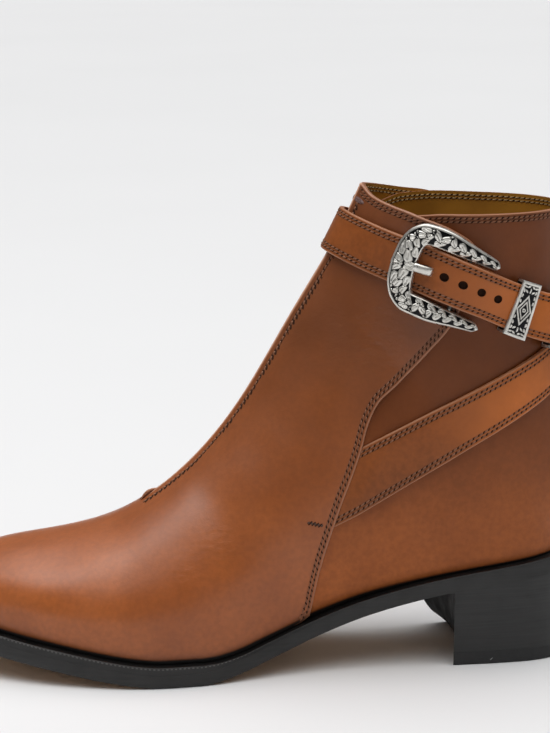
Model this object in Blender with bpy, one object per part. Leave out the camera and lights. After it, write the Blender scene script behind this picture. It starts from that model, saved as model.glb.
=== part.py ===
"""Left ankle boot with a double strap, a horseshoe buckle and a stacked heel.

Sizes are in millimetres and MM turns them into metres. The toe points along -X, the outer side of
the foot is -Y and the floor is z = 0. The upper is a fan of sections that all stand across the
length of the foot: each one runs from a seat point (on the sole, or on the back of the heel and
shaft) to a point of the front ridge. A place on it is u (row of the fan), q (0 at the seat, 1 at the
ridge), a side and a lift along the surface normal.
"""
import math

import bmesh
import bpy
import numpy as np

MM = 0.001
FIT = 0.3
LAYER_FIT = 0.5
OUTER = -1
INNER = 1

# Sole
SOLE_HALF = 150.0
SOLE_TOE_RADIUS = 20.0
SOLE_HEEL_RADIUS = 30.5
TOE_OFFSET = 7.0
OUTSOLE_THICK = 6.0
WELT_THICK = 3.2
WELT_WIDTH = 13.0
INSOLE_THICK = 2.6
INSOLE_FIT = 0.6
SOLE_STATIONS = 44
# x, outer half width, inner half width
SOLE_PLAN = (
    (130.0, 28.6, 28.2),
    (110.0, 32.6, 31.8),
    (88.0, 33.9, 32.2),
    (60.0, 34.2, 28.6),
    (30.0, 36.2, 26.6),
    (0.0, 43.2, 31.2),
    (-20.0, 48.9, 40.0),
    (-36.0, 51.4, 46.6),
    (-50.0, 52.0, 50.4),
    (-65.0, 50.5, 52.0),
    (-80.0, 47.2, 50.8),
    (-100.0, 40.4, 46.4),
    (-120.0, 30.2, 39.2),
    (-135.0, 19.4, 30.4),
)
# x, height of the tread above the floor
TREAD = (
    (-150.0, 17.2),
    (-130.0, 13.6),
    (-113.0, 10.6),
    (-90.0, 6.7),
    (-68.0, 2.9),
    (-54.0, 0.9),
    (-43.0, 0.0),
    (-26.0, 0.0),
    (-18.0, 0.9),
    (-8.0, 3.6),
    (10.0, 10.3),
    (30.0, 18.2),
    (50.0, 25.2),
    (70.0, 30.6),
    (88.0, 34.4),
    (119.0, 38.9),
    (150.0, 43.4),
)
# x, distance of the upper's foot line from the edge of the sole
SEAT_INSET = (
    (-150.0, 6.6),
    (-40.0, 6.4),
    (0.0, 5.8),
    (60.0, 4.6),
    (150.0, 4.0),
)

# Heel
BREAST_X = 88.0
BREAST_HOLLOW = 5.0
INNER_CORNER_BACK = 7.0
INNER_CORNER_SWEEP = 16.0
INNER_CORNER_RISE = 9.0
HEEL_TOP_INSET = 0.3
HEEL_FLOOR_INSET = 2.0
TOP_LIFT_THICK = 6.0
HEEL_LEVELS = 5

# Upper
WALL = 1.4
PANEL_THICK = 1.5
SEAT_LIFT = OUTSOLE_THICK + WELT_THICK + 2 * FIT
HEEL_SEAT = SOLE_HALF - SEAT_INSET[-1][1]
# height above the heel seat, x of the back line
BACK = (
    (0.0, 144.6),
    (14.0, 147.2),
    (30.0, 147.8),
    (53.0, 146.0),
    (83.0, 142.8),
    (113.0, 140.7),
    (153.0, 139.3),
    (190.0, 138.8),
)
# ridge x, ridge z, seat station, outer swell, inner swell, height of the widest place, crest
FAN = (
    (-141.4, 26.4, -143.4, 0.0, 0.0, 0.30, 0.90),
    (-140.4, 32.4, -141.2, 4.2, 4.2, 0.30, 0.90),
    (-137.2, 38.4, -136.6, 6.2, 6.2, 0.30, 0.92),
    (-131.2, 43.4, -129.4, 7.4, 7.4, 0.30, 0.94),
    (-122.0, 47.6, -119.6, 8.4, 8.4, 0.30, 0.97),
    (-108.0, 51.4, -105.0, 9.2, 9.2, 0.30, 1.00),
    (-90.0, 54.4, -86.0, 9.8, 10.0, 0.30, 1.04),
    (-72.0, 58.4, -64.0, 10.8, 11.8, 0.30, 1.08),
    (-55.0, 65.6, -42.0, 12.4, 14.6, 0.30, 1.12),
    (-38.5, 76.6, -20.0, 14.8, 18.6, 0.31, 1.17),
    (-24.0, 89.6, 4.0, 17.8, 22.8, 0.33, 1.22),
    (-11.0, 104.6, 30.0, 19.8, 24.0, 0.35, 1.26),
    (0.5, 121.4, 60.0, 19.6, 22.0, 0.37, 1.28),
    (10.0, 137.6, 90.0, 18.0, 18.8, 0.39, 1.28),
    (17.6, 151.0, 116.0, 20.0, 20.0, 0.41, 1.28),
    (23.8, 161.6, 136.0, 27.0, 26.4, 0.43, 1.28),
    (29.2, 170.6, 146.0, 33.4, 32.8, 0.45, 1.28),
    (34.2, 179.0, 162.0, 33.2, 32.6, 0.47, 1.29),
    (39.0, 187.8, 186.0, 32.8, 32.4, 0.49, 1.31),
    (43.3, 196.6, 214.0, 32.6, 32.4, 0.50, 1.34),
    (47.0, 204.6, 246.0, 32.8, 32.6, 0.50, 1.37),
    (50.5, 212.6, 277.0, 33.0, 32.8, 0.50, 1.40),
    (54.0, 221.0, 308.0, 33.2, 33.0, 0.50, 1.40),
)
FLAP_FOOT = 22.6
HEEL_ROW = 16.0
SHAFT_ROW = 17.0
INSTEP_ROW = 11.0
# x, height of the collar
COLLAR = (
    (40.0, 217.0),
    (50.5, 212.4),
    (60.0, 208.0),
    (70.0, 204.6),
    (80.0, 203.8),
    (150.0, 203.6),
)
# x, height of the upper edge of the flap
FLAP_TOP = (
    (40.0, 218.4),
    (50.5, 213.2),
    (60.0, 208.5),
    (70.0, 203.8),
    (82.0, 198.0),
    (89.0, 194.4),
    (93.0, 191.6),
    (95.5, 187.5),
    (97.0, 180.0),
    (100.0, 150.0),
)
# height, x of the rear edge of the flap
FLAP_REAR = (
    (8.0, 19.0),
    (27.0, 23.0),
    (39.0, 25.4),
    (52.0, 28.6),
    (64.0, 32.4),
    (76.0, 36.6),
    (90.0, 42.2),
    (102.0, 46.4),
    (110.0, 48.6),
    (120.0, 53.2),
    (129.0, 62.2),
    (143.0, 75.0),
    (156.0, 85.2),
    (172.0, 92.2),
    (184.0, 95.2),
    (196.0, 97.8),
)

# Straps: a line is x, z and slope of the band's middle seen from the side
STRAP_WIDTH = 20.4
ANCHOR_WIDTH = 25.4
ANCHOR_TAPER = 90.0
STRAP_THICK = 1.9
UPPER_LINE = (37.0, 192.7, -0.405)
UPPER_BOW = (82.0, 22.0, 2.7)
LOWER_LINE = (40.0, 84.3, 0.545)
LOWER_FRONT = -20.0
BAR_X = 88.0
ANCHOR_FIT = 0.7
TIP_END = 61.0
TIP_ROUND = 6.0
# place along the buckle strap, height of its underside above the upper
BUCKLE_STRAP_LIFT = (
    (2.0, 3.0),
    (5.0, 2.7),
    (9.0, 1.2),
    (14.0, 1.0),
    (22.5, 1.5),
    (34.0, 1.5),
    (38.5, 3.2),
    (43.0, 4.0),
    (54.0, 4.0),
    (64.0, 3.3),
    (109.0, 3.2),
    (116.0, 0.6),
    (260.0, 0.6),
)
# place along the long strap, height of its underside above the upper
LONG_STRAP_LIFT = (
    (-400.0, 0.6),
    (-150.0, 0.6),
    (-136.0, 2.6),
    (-92.0, 2.8),
    (-66.0, 4.2),
    (-60.0, 4.2),
    (-42.0, 3.0),
    (-32.0, 3.0),
    (-21.0, 3.4),
    (-17.5, 3.7),
    (-13.5, 5.2),
    (-6.0, 7.5),
    (0.0, 8.1),
    (5.0, 7.8),
    (15.0, 5.2),
    (22.5, 3.9),
    (34.0, 3.9),
    (38.5, 5.6),
    (43.0, 6.4),
    (70.0, 6.4),
)
HOLE_WIDTH = 3.7
HOLE_ACROSS = 0.6
PRONG_HOLE_LENGTH = 7.0
PRONG_HOLE = -14.0
HOLES = (-6.8, 0.8, 8.6, 16.5)

# Buckle and keepers, placed along the strap from the bar, across it and above the upper
BAR_RADIUS = 1.0
BAR_LIFT = 5.2
LOOP_RADIUS = 1.9
LOOP_THICK = 1.2
LOOP_TAIL = 8.0
RIM = -20.0
FRAME_THICK = 3.0
FRAME_CROWN = 0.8
FRAME_LIFT = (6.0, 3.6)
# angle round the horseshoe, outer edge along and across, inner edge along and across (from RIM)
FRAME = (
    (0.0, 31.8, 14.9, 31.6, 13.0),
    (12.0, 28.4, 16.8, 28.0, 12.5),
    (28.0, 20.2, 18.8, 20.2, 11.8),
    (46.0, 10.2, 20.0, 9.2, 11.3),
    (62.0, 1.2, 19.4, 2.8, 11.0),
    (76.0, -5.2, 15.4, 1.0, 9.0),
    (88.0, -8.4, 8.0, 0.3, 4.8),
    (100.0, -9.2, 0.0, 0.0, 0.0),
)
FRAME_STEPS = 14
NOTCH_DEPTH = 1.3
KEEPERS = (28.6, 48.6)
KEEPER_LONG = 9.6
KEEPER_INSIDE = 22.4
KEEPER_PLATE = 1.2
KEEPER_BASE = 0.7
# place along the prong, height of its middle, half width, half thickness
PRONG = (
    (-3.3, 4.8, 1.4, 0.8),
    (-11.4, 4.2, 1.4, 0.8),
    (-13.6, 5.4, 1.4, 0.8),
    (-15.8, 7.6, 1.6, 0.8),
    (-18.4, 9.3, 1.6, 0.8),
    (-23.4, 9.7, 1.1, 0.6),
)


def cubic(table, column):
    """The natural cubic through one column of a table, over its first column."""
    xs = np.array([row[0] for row in table], float)
    ys = np.array([row[column] for row in table], float)
    count = len(xs)
    step = np.diff(xs)
    matrix = np.eye(count)
    right = np.zeros(count)
    for i in range(1, count - 1):
        matrix[i, i - 1] = step[i - 1]
        matrix[i, i] = 2 * (step[i - 1] + step[i])
        matrix[i, i + 1] = step[i]
        right[i] = 6 * ((ys[i + 1] - ys[i]) / step[i] - (ys[i] - ys[i - 1]) / step[i - 1])
    bend = np.linalg.solve(matrix, right)

    def at(x):
        x = np.clip(np.asarray(x, float), xs[0], xs[-1])
        i = np.clip(np.searchsorted(xs, x) - 1, 0, count - 2)
        a = (xs[i + 1] - x) / step[i]
        b = 1 - a
        curve = (a**3 - a) * bend[i] + (b**3 - b) * bend[i + 1]
        return a * ys[i] + b * ys[i + 1] + curve * step[i] ** 2 / 6

    return at


def monotone(table, column=1):
    """A cubic through one column of a table that never passes beyond its values."""
    xs = np.array([row[0] for row in table], float)
    ys = np.array([row[column] for row in table], float)
    step = np.diff(xs)
    secant = np.diff(ys) / step
    slope = np.zeros(len(xs))
    slope[0] = secant[0]
    slope[-1] = secant[-1]
    for i in range(1, len(xs) - 1):
        if secant[i - 1] * secant[i] > 0:
            slope[i] = 2 / (1 / secant[i - 1] + 1 / secant[i])

    def at(x):
        x = np.clip(np.asarray(x, float), xs[0], xs[-1])
        i = np.clip(np.searchsorted(xs, x) - 1, 0, len(xs) - 2)
        t = (x - xs[i]) / step[i]
        rise = ys[i] + t * step[i] * slope[i]
        bend = 3 * secant[i] - 2 * slope[i] - slope[i + 1]
        twist = slope[i] + slope[i + 1] - 2 * secant[i]
        return rise + step[i] * (bend * t**2 + twist * t**3)

    return at


def smooth_step(x, start, end):
    t = np.clip((x - start) / (end - start), 0, 1)
    return t * t * (3 - 2 * t)


tread = monotone(TREAD)
seat_inset = monotone(SEAT_INSET)


def middle(x):
    """The y of the middle line of the foot, which bends inwards at the toe."""
    return TOE_OFFSET * np.clip(-np.asarray(x, float) / SOLE_HALF, 0, 1) ** 2


def plan_width(side):
    """The half width of the sole over sin(angle), as a function of the angle from the heel."""
    rows = [(0.0, math.sqrt(SOLE_HEEL_RADIUS * SOLE_HALF))]
    for x, outer, inner in SOLE_PLAN:
        angle = math.acos(x / SOLE_HALF)
        half = outer if side == OUTER else inner
        rows.append((angle, (half - side * float(middle(x))) / math.sin(angle)))
    rows.append((math.pi, math.sqrt(SOLE_TOE_RADIUS * SOLE_HALF)))
    return cubic(rows, 1)


PLAN_WIDTH = {side: plan_width(side) for side in (OUTER, INNER)}


def plan(angle, side, inset=0.0):
    """Plan points of the sole's edge, moved inwards; angle 0 is the heel and pi the toe."""
    def edge(a):
        x = SOLE_HALF * np.cos(a)
        return np.stack([x, middle(x) + side * np.sin(a) * PLAN_WIDTH[side](a)], -1)

    angle = np.asarray(angle, float)
    along = edge(np.minimum(angle + 1e-4, math.pi)) - edge(np.maximum(angle - 1e-4, 0))
    along /= np.linalg.norm(along, axis=-1, keepdims=True)
    inward = side * np.stack([-along[..., 1], along[..., 0]], -1)
    ends = (angle < 1e-6) | (angle > math.pi - 1e-6)
    inward[ends, 0] = -np.sign(np.cos(angle[ends]))
    inward[ends, 1] = 0
    return edge(angle) + inward * np.asarray(inset, float)[..., None]


def sole_point(flat, lift):
    """A plan point put on the tread and lifted along the normal of the tread."""
    x = flat[..., 0]
    slope = tread(x + 0.5) - tread(x - 0.5)
    long = np.sqrt(1 + slope**2)
    return np.stack([x - lift * slope / long, flat[..., 1], tread(x) + lift / long], -1)


def stations():
    """Angles round one side of the sole, closer together under the ball and the arch."""
    even = math.pi * np.linspace(0, 1, SOLE_STATIONS)
    return even + 0.17 * np.sin(2 * even)


def seat_edges():
    """For both sides, x and y of the line where the upper stands on the welt."""
    angles = np.linspace(0, math.pi, 1601)
    edges = {}
    for side in (OUTER, INNER):
        points = plan(angles, side, seat_inset(SOLE_HALF * np.cos(angles)))
        order = np.argsort(points[:, 0])
        edges[side] = points[order]
    return edges


SEAT_EDGES = seat_edges()
FAN_ROWS = [(float(i), *row) for i, row in enumerate(FAN)]
FAN_CURVES = [cubic(FAN_ROWS, column + 1) for column in range(7)]
LAST_ROW = len(FAN) - 1.0
back_line = cubic(BACK, 1)


def seat_width(seat, side):
    """Half width of the foot line at a seat station, from the middle line; 0 on the back."""
    edge = SEAT_EDGES[side]
    width = side * (np.interp(seat, edge[:, 0], edge[:, 1]) - middle(seat))
    return np.where(seat > HEEL_SEAT - 1e-6, 0, np.maximum(width, 0))


def widest_curve(side):
    """Largest half width of every section: the foot line and the swell above it together."""
    rows = []
    for i, row in enumerate(FAN):
        swell = row[3] if side == OUTER else row[4]
        rows.append((float(i), math.hypot(float(seat_width(np.array(row[2]), side)), swell)))
    return cubic(rows, 1)


WIDEST = {side: widest_curve(side) for side in (OUTER, INNER)}


class Section:
    """The sections of the fan at the rows u, for one side."""

    def __init__(self, u, side):
        ridge_x, ridge_z, seat, _, _, belly, crest = (curve(u) for curve in FAN_CURVES)
        on_sole = np.minimum(seat, HEEL_SEAT)
        height = np.maximum(seat - HEEL_SEAT, 0)
        foot = sole_point(np.stack([on_sole, np.zeros_like(on_sole)], -1), SEAT_LIFT)
        heel = sole_point(np.array([[HEEL_SEAT, 0.0]]), SEAT_LIFT)[0]
        self.top = np.stack([ridge_x, ridge_z], -1)
        self.seat = np.where(
            (height > 0)[..., None],
            np.stack([back_line(height) - BACK[0][1] + heel[0], heel[2] + height], -1),
            foot[..., ::2],
        )
        self.middle = middle(on_sole)
        edge = seat_width(seat, side)
        self.widest = np.maximum(WIDEST[side](u), edge * 1.004 + 1e-3)
        self.belly = belly
        self.crest = crest
        self.low = -np.arccos(np.clip(edge / self.widest, 0, 1))
        self.side = side

    def points(self, q):
        turn = self.low + q * (math.pi / 2 - self.low)
        lower = self.belly * (1 + np.sin(np.minimum(turn, 0)) / np.maximum(np.sin(-self.low), 1e-9))
        upper = self.belly + (1 - self.belly) * np.sin(turn)
        h = np.where(turn < 0, lower, upper)
        round_ = np.maximum(np.cos(turn), 0)
        half = self.widest * np.where(turn < 0, round_, round_**self.crest)
        flat = self.seat + (self.top - self.seat) * h[..., None]
        return np.stack([flat[..., 0], self.middle + self.side * half, flat[..., 1]], -1)

    def place(self, h):
        """The q of a height h, from 0 at the seat to 1 at the ridge."""
        lower = (h - self.belly) / self.belly * np.sin(-self.low)
        upper = (h - self.belly) / (1 - self.belly)
        turn = np.arcsin(np.clip(np.where(h < self.belly, lower, upper), -1, 1))
        return np.clip((turn - self.low) / (math.pi / 2 - self.low), 0, 1)


def last_point(u, q, side, lift=0.0):
    """Points of the upper's surface, lifted along its normal."""
    u, q, lift = np.broadcast_arrays(*(np.asarray(v, float) for v in (u, q, lift)))
    point = Section(u, side).points(q)
    if not np.any(lift):
        return point
    near = np.clip(u, 0.06, LAST_ROW - 0.01)
    du = Section(near + 0.01, side).points(q) - Section(near - 0.01, side).points(q)
    here = Section(near, side)
    dq = here.points(np.minimum(q + 0.003, 1)) - here.points(np.maximum(q - 0.003, 0))
    normal = -side * np.cross(du, dq)
    normal /= np.linalg.norm(normal, axis=-1, keepdims=True)
    seat = FAN_CURVES[2](u)
    on_back = (q < 1e-4) & (seat > HEEL_SEAT - 1e-6)
    normal[..., 1] *= np.where((q > 0.9999) | on_back, 0.0, 1.0)
    slope = tread(seat + 0.5) - tread(seat - 0.5)
    up = np.stack([-slope, np.zeros_like(slope), np.ones_like(slope)], -1)
    up /= np.linalg.norm(up, axis=-1, keepdims=True)
    share = np.where(seat < HEEL_SEAT + 0.5, np.clip(1 - q / 0.1, 0, 1), 0)
    normal -= (share * np.sum(normal * up, -1))[..., None] * up
    normal /= np.linalg.norm(normal, axis=-1, keepdims=True)
    tip = u < 1e-6
    normal[tip] = np.stack([-up[..., 2], 0 * slope, up[..., 0]], -1)[tip]
    return point + normal * lift[..., None]


def climb(q, side, test, start, steps=400):
    """The highest row where test(points) turns from below zero to above it, for every q."""
    q = np.asarray(q, float)
    rows = np.linspace(start, LAST_ROW, steps)
    value = test(last_point(rows[:, None], q.ravel()[None, :], side))
    below = value[:-1] <= 0
    crossing = below & (value[1:] > 0)
    last = steps - 2 - np.argmax(crossing[::-1], axis=0)
    column = np.arange(value.shape[1])
    low = value[last, column]
    high = value[last + 1, column]
    share = np.clip(low / np.where(low == high, 1, low - high), 0, 1)
    return (rows[last] + share * (rows[1] - rows[0])).reshape(q.shape)


def fan_place(flat, side):
    """Row and q of side-view points (x, z) that lie within the outline of the upper."""
    rows = np.linspace(0, LAST_ROW, 900)
    fan = Section(rows, side)
    lean = fan.top - fan.seat
    gap = flat[..., None, :] - fan.seat
    ahead = lean[:, 0] * gap[..., 1] - lean[:, 1] * gap[..., 0]
    last = len(rows) - 2 - np.argmax((ahead[..., :-1] < 0)[..., ::-1], axis=-1)
    low = np.take_along_axis(ahead, last[..., None], -1)[..., 0]
    high = np.take_along_axis(ahead, last[..., None] + 1, -1)[..., 0]
    share = np.clip(low / np.where(low == high, 1, low - high), 0, 1)
    u = rows[last] + share * (rows[1] - rows[0])
    section = Section(u, side)
    lean = section.top - section.seat
    h = np.sum((flat - section.seat) * lean, -1) / np.sum(lean * lean, -1)
    return u, section.place(np.clip(h, 0, 1))


def back_x(z):
    heel = sole_point(np.array([HEEL_SEAT, 0.0]), SEAT_LIFT)
    return back_line(z - heel[2]) - BACK[0][1] + heel[0]


def ridge_x(z):
    rows = np.linspace(7.0, LAST_ROW, 600)
    return np.interp(z, FAN_CURVES[1](rows), FAN_CURVES[0](rows))


def seat_row(stations):
    rows = np.linspace(0, LAST_ROW, 4001)
    return np.interp(stations, FAN_CURVES[2](rows), rows)


def fan_rows():
    """Rows of the upper: close together round the toe and the heel."""
    toe = seat_row(-143.4 + 60 * (1 - np.cos(np.linspace(0, math.pi / 2, 9))))
    stand = np.linspace(-83.4, 112.0, 20)[1:]
    stand[np.argmin(np.abs(stand - FLAP_FOOT))] = FLAP_FOOT
    foot = seat_row(stand)
    heel = seat_row(112.0 + 34.0 * np.sin(np.linspace(0, math.pi / 2, 6)))[1:]
    heel[-1] = HEEL_ROW
    shaft = np.linspace(HEEL_ROW, LAST_ROW, 7)[1:]
    return np.concatenate([toe, foot, heel, shaft]), len(toe) + len(foot) + len(heel) - 1


def both_sides(layer):
    """Joins an outer and an inner grid at the ridge."""
    outer, inner = (layer(side) for side in (OUTER, INNER))
    return np.concatenate([outer, inner[:, -2::-1]], axis=1)


def collar_test(points):
    return points[..., 2] - monotone(COLLAR)(points[..., 0])


def flap_top_test(points):
    return points[..., 2] - monotone(FLAP_TOP)(points[..., 0])


def flap_edge(u, side):
    """The q of the flap's rear edge in every row; 0 where the row stays in front of it."""
    h = np.linspace(0, 1, 500)
    section = Section(u, side)
    line = section.seat[:, None] + (section.top - section.seat)[:, None] * h[None, :, None]
    behind = line[..., 0] > monotone(FLAP_REAR)(line[..., 1])
    first = np.where(behind.any(1), behind.shape[1] - np.argmax(behind[:, ::-1], axis=1), 0)
    return section.place(h[np.minimum(first, 499)])


def upper_layer(side, lift, rows, columns=11):
    q = np.linspace(0, 1, columns)
    top = climb(q, side, collar_test, SHAFT_ROW)
    share = np.clip((rows - SHAFT_ROW) / (LAST_ROW - SHAFT_ROW), 0, 1)[:, None]
    u = np.minimum(rows, SHAFT_ROW)[:, None] + share * (top[None, :] - SHAFT_ROW)
    return last_point(u, q[None, :], side, lift)


def panel_layer(side, lift, rows, columns=11):
    across = np.linspace(0, 1, columns)
    fine = np.linspace(INSTEP_ROW, LAST_ROW, 700)
    edge = flap_edge(fine, side)
    top = []
    for f in across:
        points = last_point(fine, edge + f * (1 - edge), side)
        over = flap_top_test(points) > 0
        top.append(fine[np.argmax(over)])
    share = np.clip((rows - INSTEP_ROW) / (LAST_ROW - INSTEP_ROW), 0, 1)[:, None]
    u = np.minimum(rows, INSTEP_ROW)[:, None] + share * (np.array(top)[None, :] - INSTEP_ROW)
    start = flap_edge(u.ravel(), side).reshape(u.shape)
    return last_point(u, start + across[None, :] * (1 - start), side, lift)


class StrapPath:
    """A band round the ankle. A turn of 0 is the front and 1 the back, with the outer side between
    them. The band keeps to UPPER_LINE before the turn `cross` and to LOWER_LINE after it, where
    `way` is the sign of the turns that come after it; at the turn 1 every band bends down with the
    buckle strap. Places along it are counted from the bar."""

    def __init__(self, cross, way, first, last):
        self.cross = cross
        self.way = way
        self.turns = np.linspace(first, last, 1200)
        line = self.at_turn(self.turns, 0.0, 0.0)
        step = np.linalg.norm(np.diff(line, axis=0), axis=1)
        along = np.concatenate([[0], np.cumsum(step)])
        outer = (self.turns > 0) & (self.turns < 0.95)
        self.along = along - np.interp(BAR_X, line[outer, 0], along[outer])
        self.x = line[:, 0]

    def at_turn(self, turn, across, lift):
        given = (np.asarray(value, float) for value in (turn, across, lift))
        turn, across, lift = np.broadcast_arrays(*given)
        phase = np.mod(turn, 2)
        q = np.abs(1 - phase)
        after = smooth_step((turn - self.cross) * self.way, -0.24, 0.24)
        after = np.maximum(after, smooth_step(turn - 1.0, -0.24, 0.24))
        wide = smooth_step(q, 0.0, 0.3)
        height = np.zeros(turn.shape)
        slope = np.zeros(turn.shape)
        for share, (x, z, tilt) in ((1 - after, UPPER_LINE), (after, LOWER_LINE)):
            stretch = 1 + (math.hypot(1, tilt) - 1) * wide
            height = height + share * (z - tilt * x + across * stretch)
            slope = slope + share * tilt
        back = np.full(turn.shape, 142.0)
        front = np.full(turn.shape, 45.0)
        for _ in range(12):
            back = back_x(height + slope * back)
            front = ridge_x(height + slope * front)
        front = np.where(after > 0.5, LOWER_FRONT, front)
        x = front + (back - front) * (1 + np.cos(math.pi * q)) / 2
        bow_x, bow_long, bow_high = UPPER_BOW
        bow = bow_high * np.exp(-(((x - bow_x) / bow_long) ** 2))
        bow *= (1 - after) * smooth_step(q, 0.02, 0.2) * smooth_step(1 - q, 0.02, 0.2) * (phase < 1)
        flat = np.stack([x, height + slope * x + bow], -1)
        points = np.empty(turn.shape + (3,))
        for side, mine in ((OUTER, phase < 1), (INNER, phase >= 1)):
            if mine.any():
                row, place = fan_place(flat[mine], side)
                place = np.where(q[mine] < 1e-6, 0, np.where(q[mine] > 1 - 1e-6, 1, place))
                points[mine] = last_point(row, place, side, lift[mine])
        return points

    def turn(self, along):
        return np.interp(along, self.along, self.turns)

    def along_at(self, turn):
        return np.interp(turn, self.turns, self.along)

    def at(self, along, across, lift):
        """A place along the band, square across it and lifted from the upper."""
        given = (np.asarray(value, float) for value in (along, across, lift))
        along, across, lift = np.broadcast_arrays(*given)
        turn = self.turn(along)
        centre = self.at_turn(turn, 0.0, lift)
        ahead = self.at_turn(turn + 0.01, 0.0, lift) - self.at_turn(turn - 0.01, 0.0, lift)
        speed = np.linalg.norm(ahead, axis=-1)
        for _ in range(2):
            skew = np.sum((self.at_turn(turn, across, lift) - centre) * ahead, -1) / speed
            turn = turn - 0.02 * skew / speed
        return self.at_turn(turn, across, lift)

    def anchor(self, across, low, high):
        """The place along the band where it meets the rear edge of the low flap."""
        places = np.linspace(low, high, 160)
        ends = []
        for shift in across:
            line = self.at(places, shift, 0.0)
            clear = line[:, 0] - monotone(FLAP_REAR)(line[:, 2]) - ANCHOR_FIT
            crossing = np.argmax(clear[:-1] * clear[1:] <= 0)
            ends.append(places[crossing])
        return np.array(ends)


def material(name, colour, metal=0.0, rough=0.5):
    made = bpy.data.materials.new(name)
    made.use_nodes = True
    shader = made.node_tree.nodes["Principled BSDF"]
    shader.inputs["Base Color"].default_value = (*colour, 1.0)
    shader.inputs["Metallic"].default_value = metal
    shader.inputs["Roughness"].default_value = rough
    return made


def finish(mesh, name, look, collection):
    bmesh.ops.remove_doubles(mesh, verts=mesh.verts, dist=2e-6)
    bmesh.ops.dissolve_degenerate(mesh, edges=mesh.edges, dist=1e-6)
    bmesh.ops.triangulate(mesh, faces=mesh.faces)
    bmesh.ops.recalc_face_normals(mesh, faces=mesh.faces)
    data = bpy.data.meshes.new(name)
    mesh.to_mesh(data)
    mesh.free()
    data.materials.append(look)
    made = bpy.data.objects.new(name, data)
    collection.objects.link(made)
    return made


def layered(name, over, under, look, collection, loop=False, rim_rows=None):
    """A closed body between two grids of one layout. Rows that meet in a point close by themselves;
    loop joins the last row to the first, and side rims run over the first rim_rows rows."""
    mesh = bmesh.new()
    a = [[mesh.verts.new(p * MM) for p in row] for row in over]
    b = [[mesh.verts.new(p * MM) for p in row] for row in under]
    rows, columns = over.shape[:2]
    quads = []
    for i in range(rows - 1):
        for j in range(columns - 1):
            quads.append((a[i][j], a[i][j + 1], a[i + 1][j + 1], a[i + 1][j]))
            quads.append((b[i][j], b[i + 1][j], b[i + 1][j + 1], b[i][j + 1]))
    for i in range(rows - 1 if rim_rows is None else rim_rows):
        quads.append((a[i][0], a[i + 1][0], b[i + 1][0], b[i][0]))
        quads.append((a[i][-1], b[i][-1], b[i + 1][-1], a[i + 1][-1]))
    for j in range(0 if loop else columns - 1):
        quads.append((a[0][j], b[0][j], b[0][j + 1], a[0][j + 1]))
        quads.append((a[-1][j], a[-1][j + 1], b[-1][j + 1], b[-1][j]))
    for quad in quads:
        mesh.faces.new(quad)
    return finish(mesh, name, look, collection)


def loft(name, rings, look, collection, loop=False):
    """A closed body through rings of points, capped at both ends or joined into a loop."""
    mesh = bmesh.new()
    verts = [[mesh.verts.new(p * MM) for p in ring] for ring in rings]
    pairs = list(zip(verts, verts[1:]))
    if loop:
        pairs.append((verts[-1], verts[0]))
    for near, far in pairs:
        for i in range(len(near)):
            k = (i + 1) % len(near)
            mesh.faces.new((near[i], near[k], far[k], far[i]))
    if not loop:
        mesh.faces.new(verts[0])
        mesh.faces.new(verts[-1])
    return finish(mesh, name, look, collection)


def sole_grid(inset, lift, columns=3):
    angles = stations()[::-1]
    edge = seat_inset(SOLE_HALF * np.cos(angles)) * (inset[1] > 0) + inset[0]
    outer = plan(angles, OUTER, edge)
    inner = plan(angles, INNER, edge)
    across = np.linspace(0, 1, columns)[None, :, None]
    return sole_point(outer[:, None] * (1 - across) + inner[:, None] * across, lift)


def make_outsole(look, collection):
    return layered(
        "outsole",
        sole_grid((0.0, 0), OUTSOLE_THICK),
        sole_grid((0.0, 0), 0.0),
        look,
        collection,
    )


def make_insole(look, collection):
    edge = (WALL + INSOLE_FIT, 1)
    floor = SEAT_LIFT
    return layered(
        "insole", sole_grid(edge, floor + INSOLE_THICK), sole_grid(edge, floor), look, collection
    )


def make_welt(look, collection):
    half = stations()
    grids = []
    for lift in (OUTSOLE_THICK + FIT + WELT_THICK, OUTSOLE_THICK + FIT):
        edges = []
        for inset in (0.0, WELT_WIDTH):
            ring = np.concatenate([plan(half, OUTER, inset), plan(half, INNER, inset)[::-1]])
            edges.append(sole_point(ring, lift))
        grids.append(np.stack(edges, 1))
    return layered("welt", grids[0], grids[1], look, collection, loop=True)


def heel_ring(inset, z, back=11, breast=7):
    """The plan of the heel at one level: round the back, then along the hollow breast, whose inner
    corner sweeps forwards as it rises."""
    cut = INNER_CORNER_BACK - INNER_CORNER_SWEEP * (1 - math.exp(-z / INNER_CORNER_RISE))
    sides = []
    for side, start in ((OUTER, BREAST_X), (INNER, BREAST_X + cut)):
        angles = np.linspace(math.acos(start / SOLE_HALF), 0, back)
        sides.append(plan(angles, side, inset))
        sides[-1][0, 0] = start
    ring = np.concatenate([sides[0], sides[1][-2::-1]])
    t = np.linspace(0, 1, breast)[1:-1, None]
    line = ring[-1] * (1 - t) + ring[0] * t
    line[:, :1] += BREAST_HOLLOW * 4 * t * (1 - t)
    return np.concatenate([ring, line])


def make_heel(look_stack, look_lift, collection):
    rings = []
    low = TOP_LIFT_THICK + FIT
    for t in np.linspace(0, 1, HEEL_LEVELS) ** 1.5:
        inset = HEEL_FLOOR_INSET * (1 - t) + HEEL_TOP_INSET * t
        flat = heel_ring(inset, low + t * (tread(BREAST_X) - low))
        seat = tread(flat[:, 0]) - FIT
        rings.append(np.column_stack([flat, low + t * (seat - low)]))
    lift = []
    for z in (0.0, TOP_LIFT_THICK / 2, TOP_LIFT_THICK):
        flat = heel_ring(HEEL_FLOOR_INSET, z)
        lift.append(np.column_stack([flat, np.full(len(flat), z)]))
    return (
        loft("heel_stack", rings, look_stack, collection),
        loft("top_lift", lift, look_lift, collection),
    )


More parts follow.
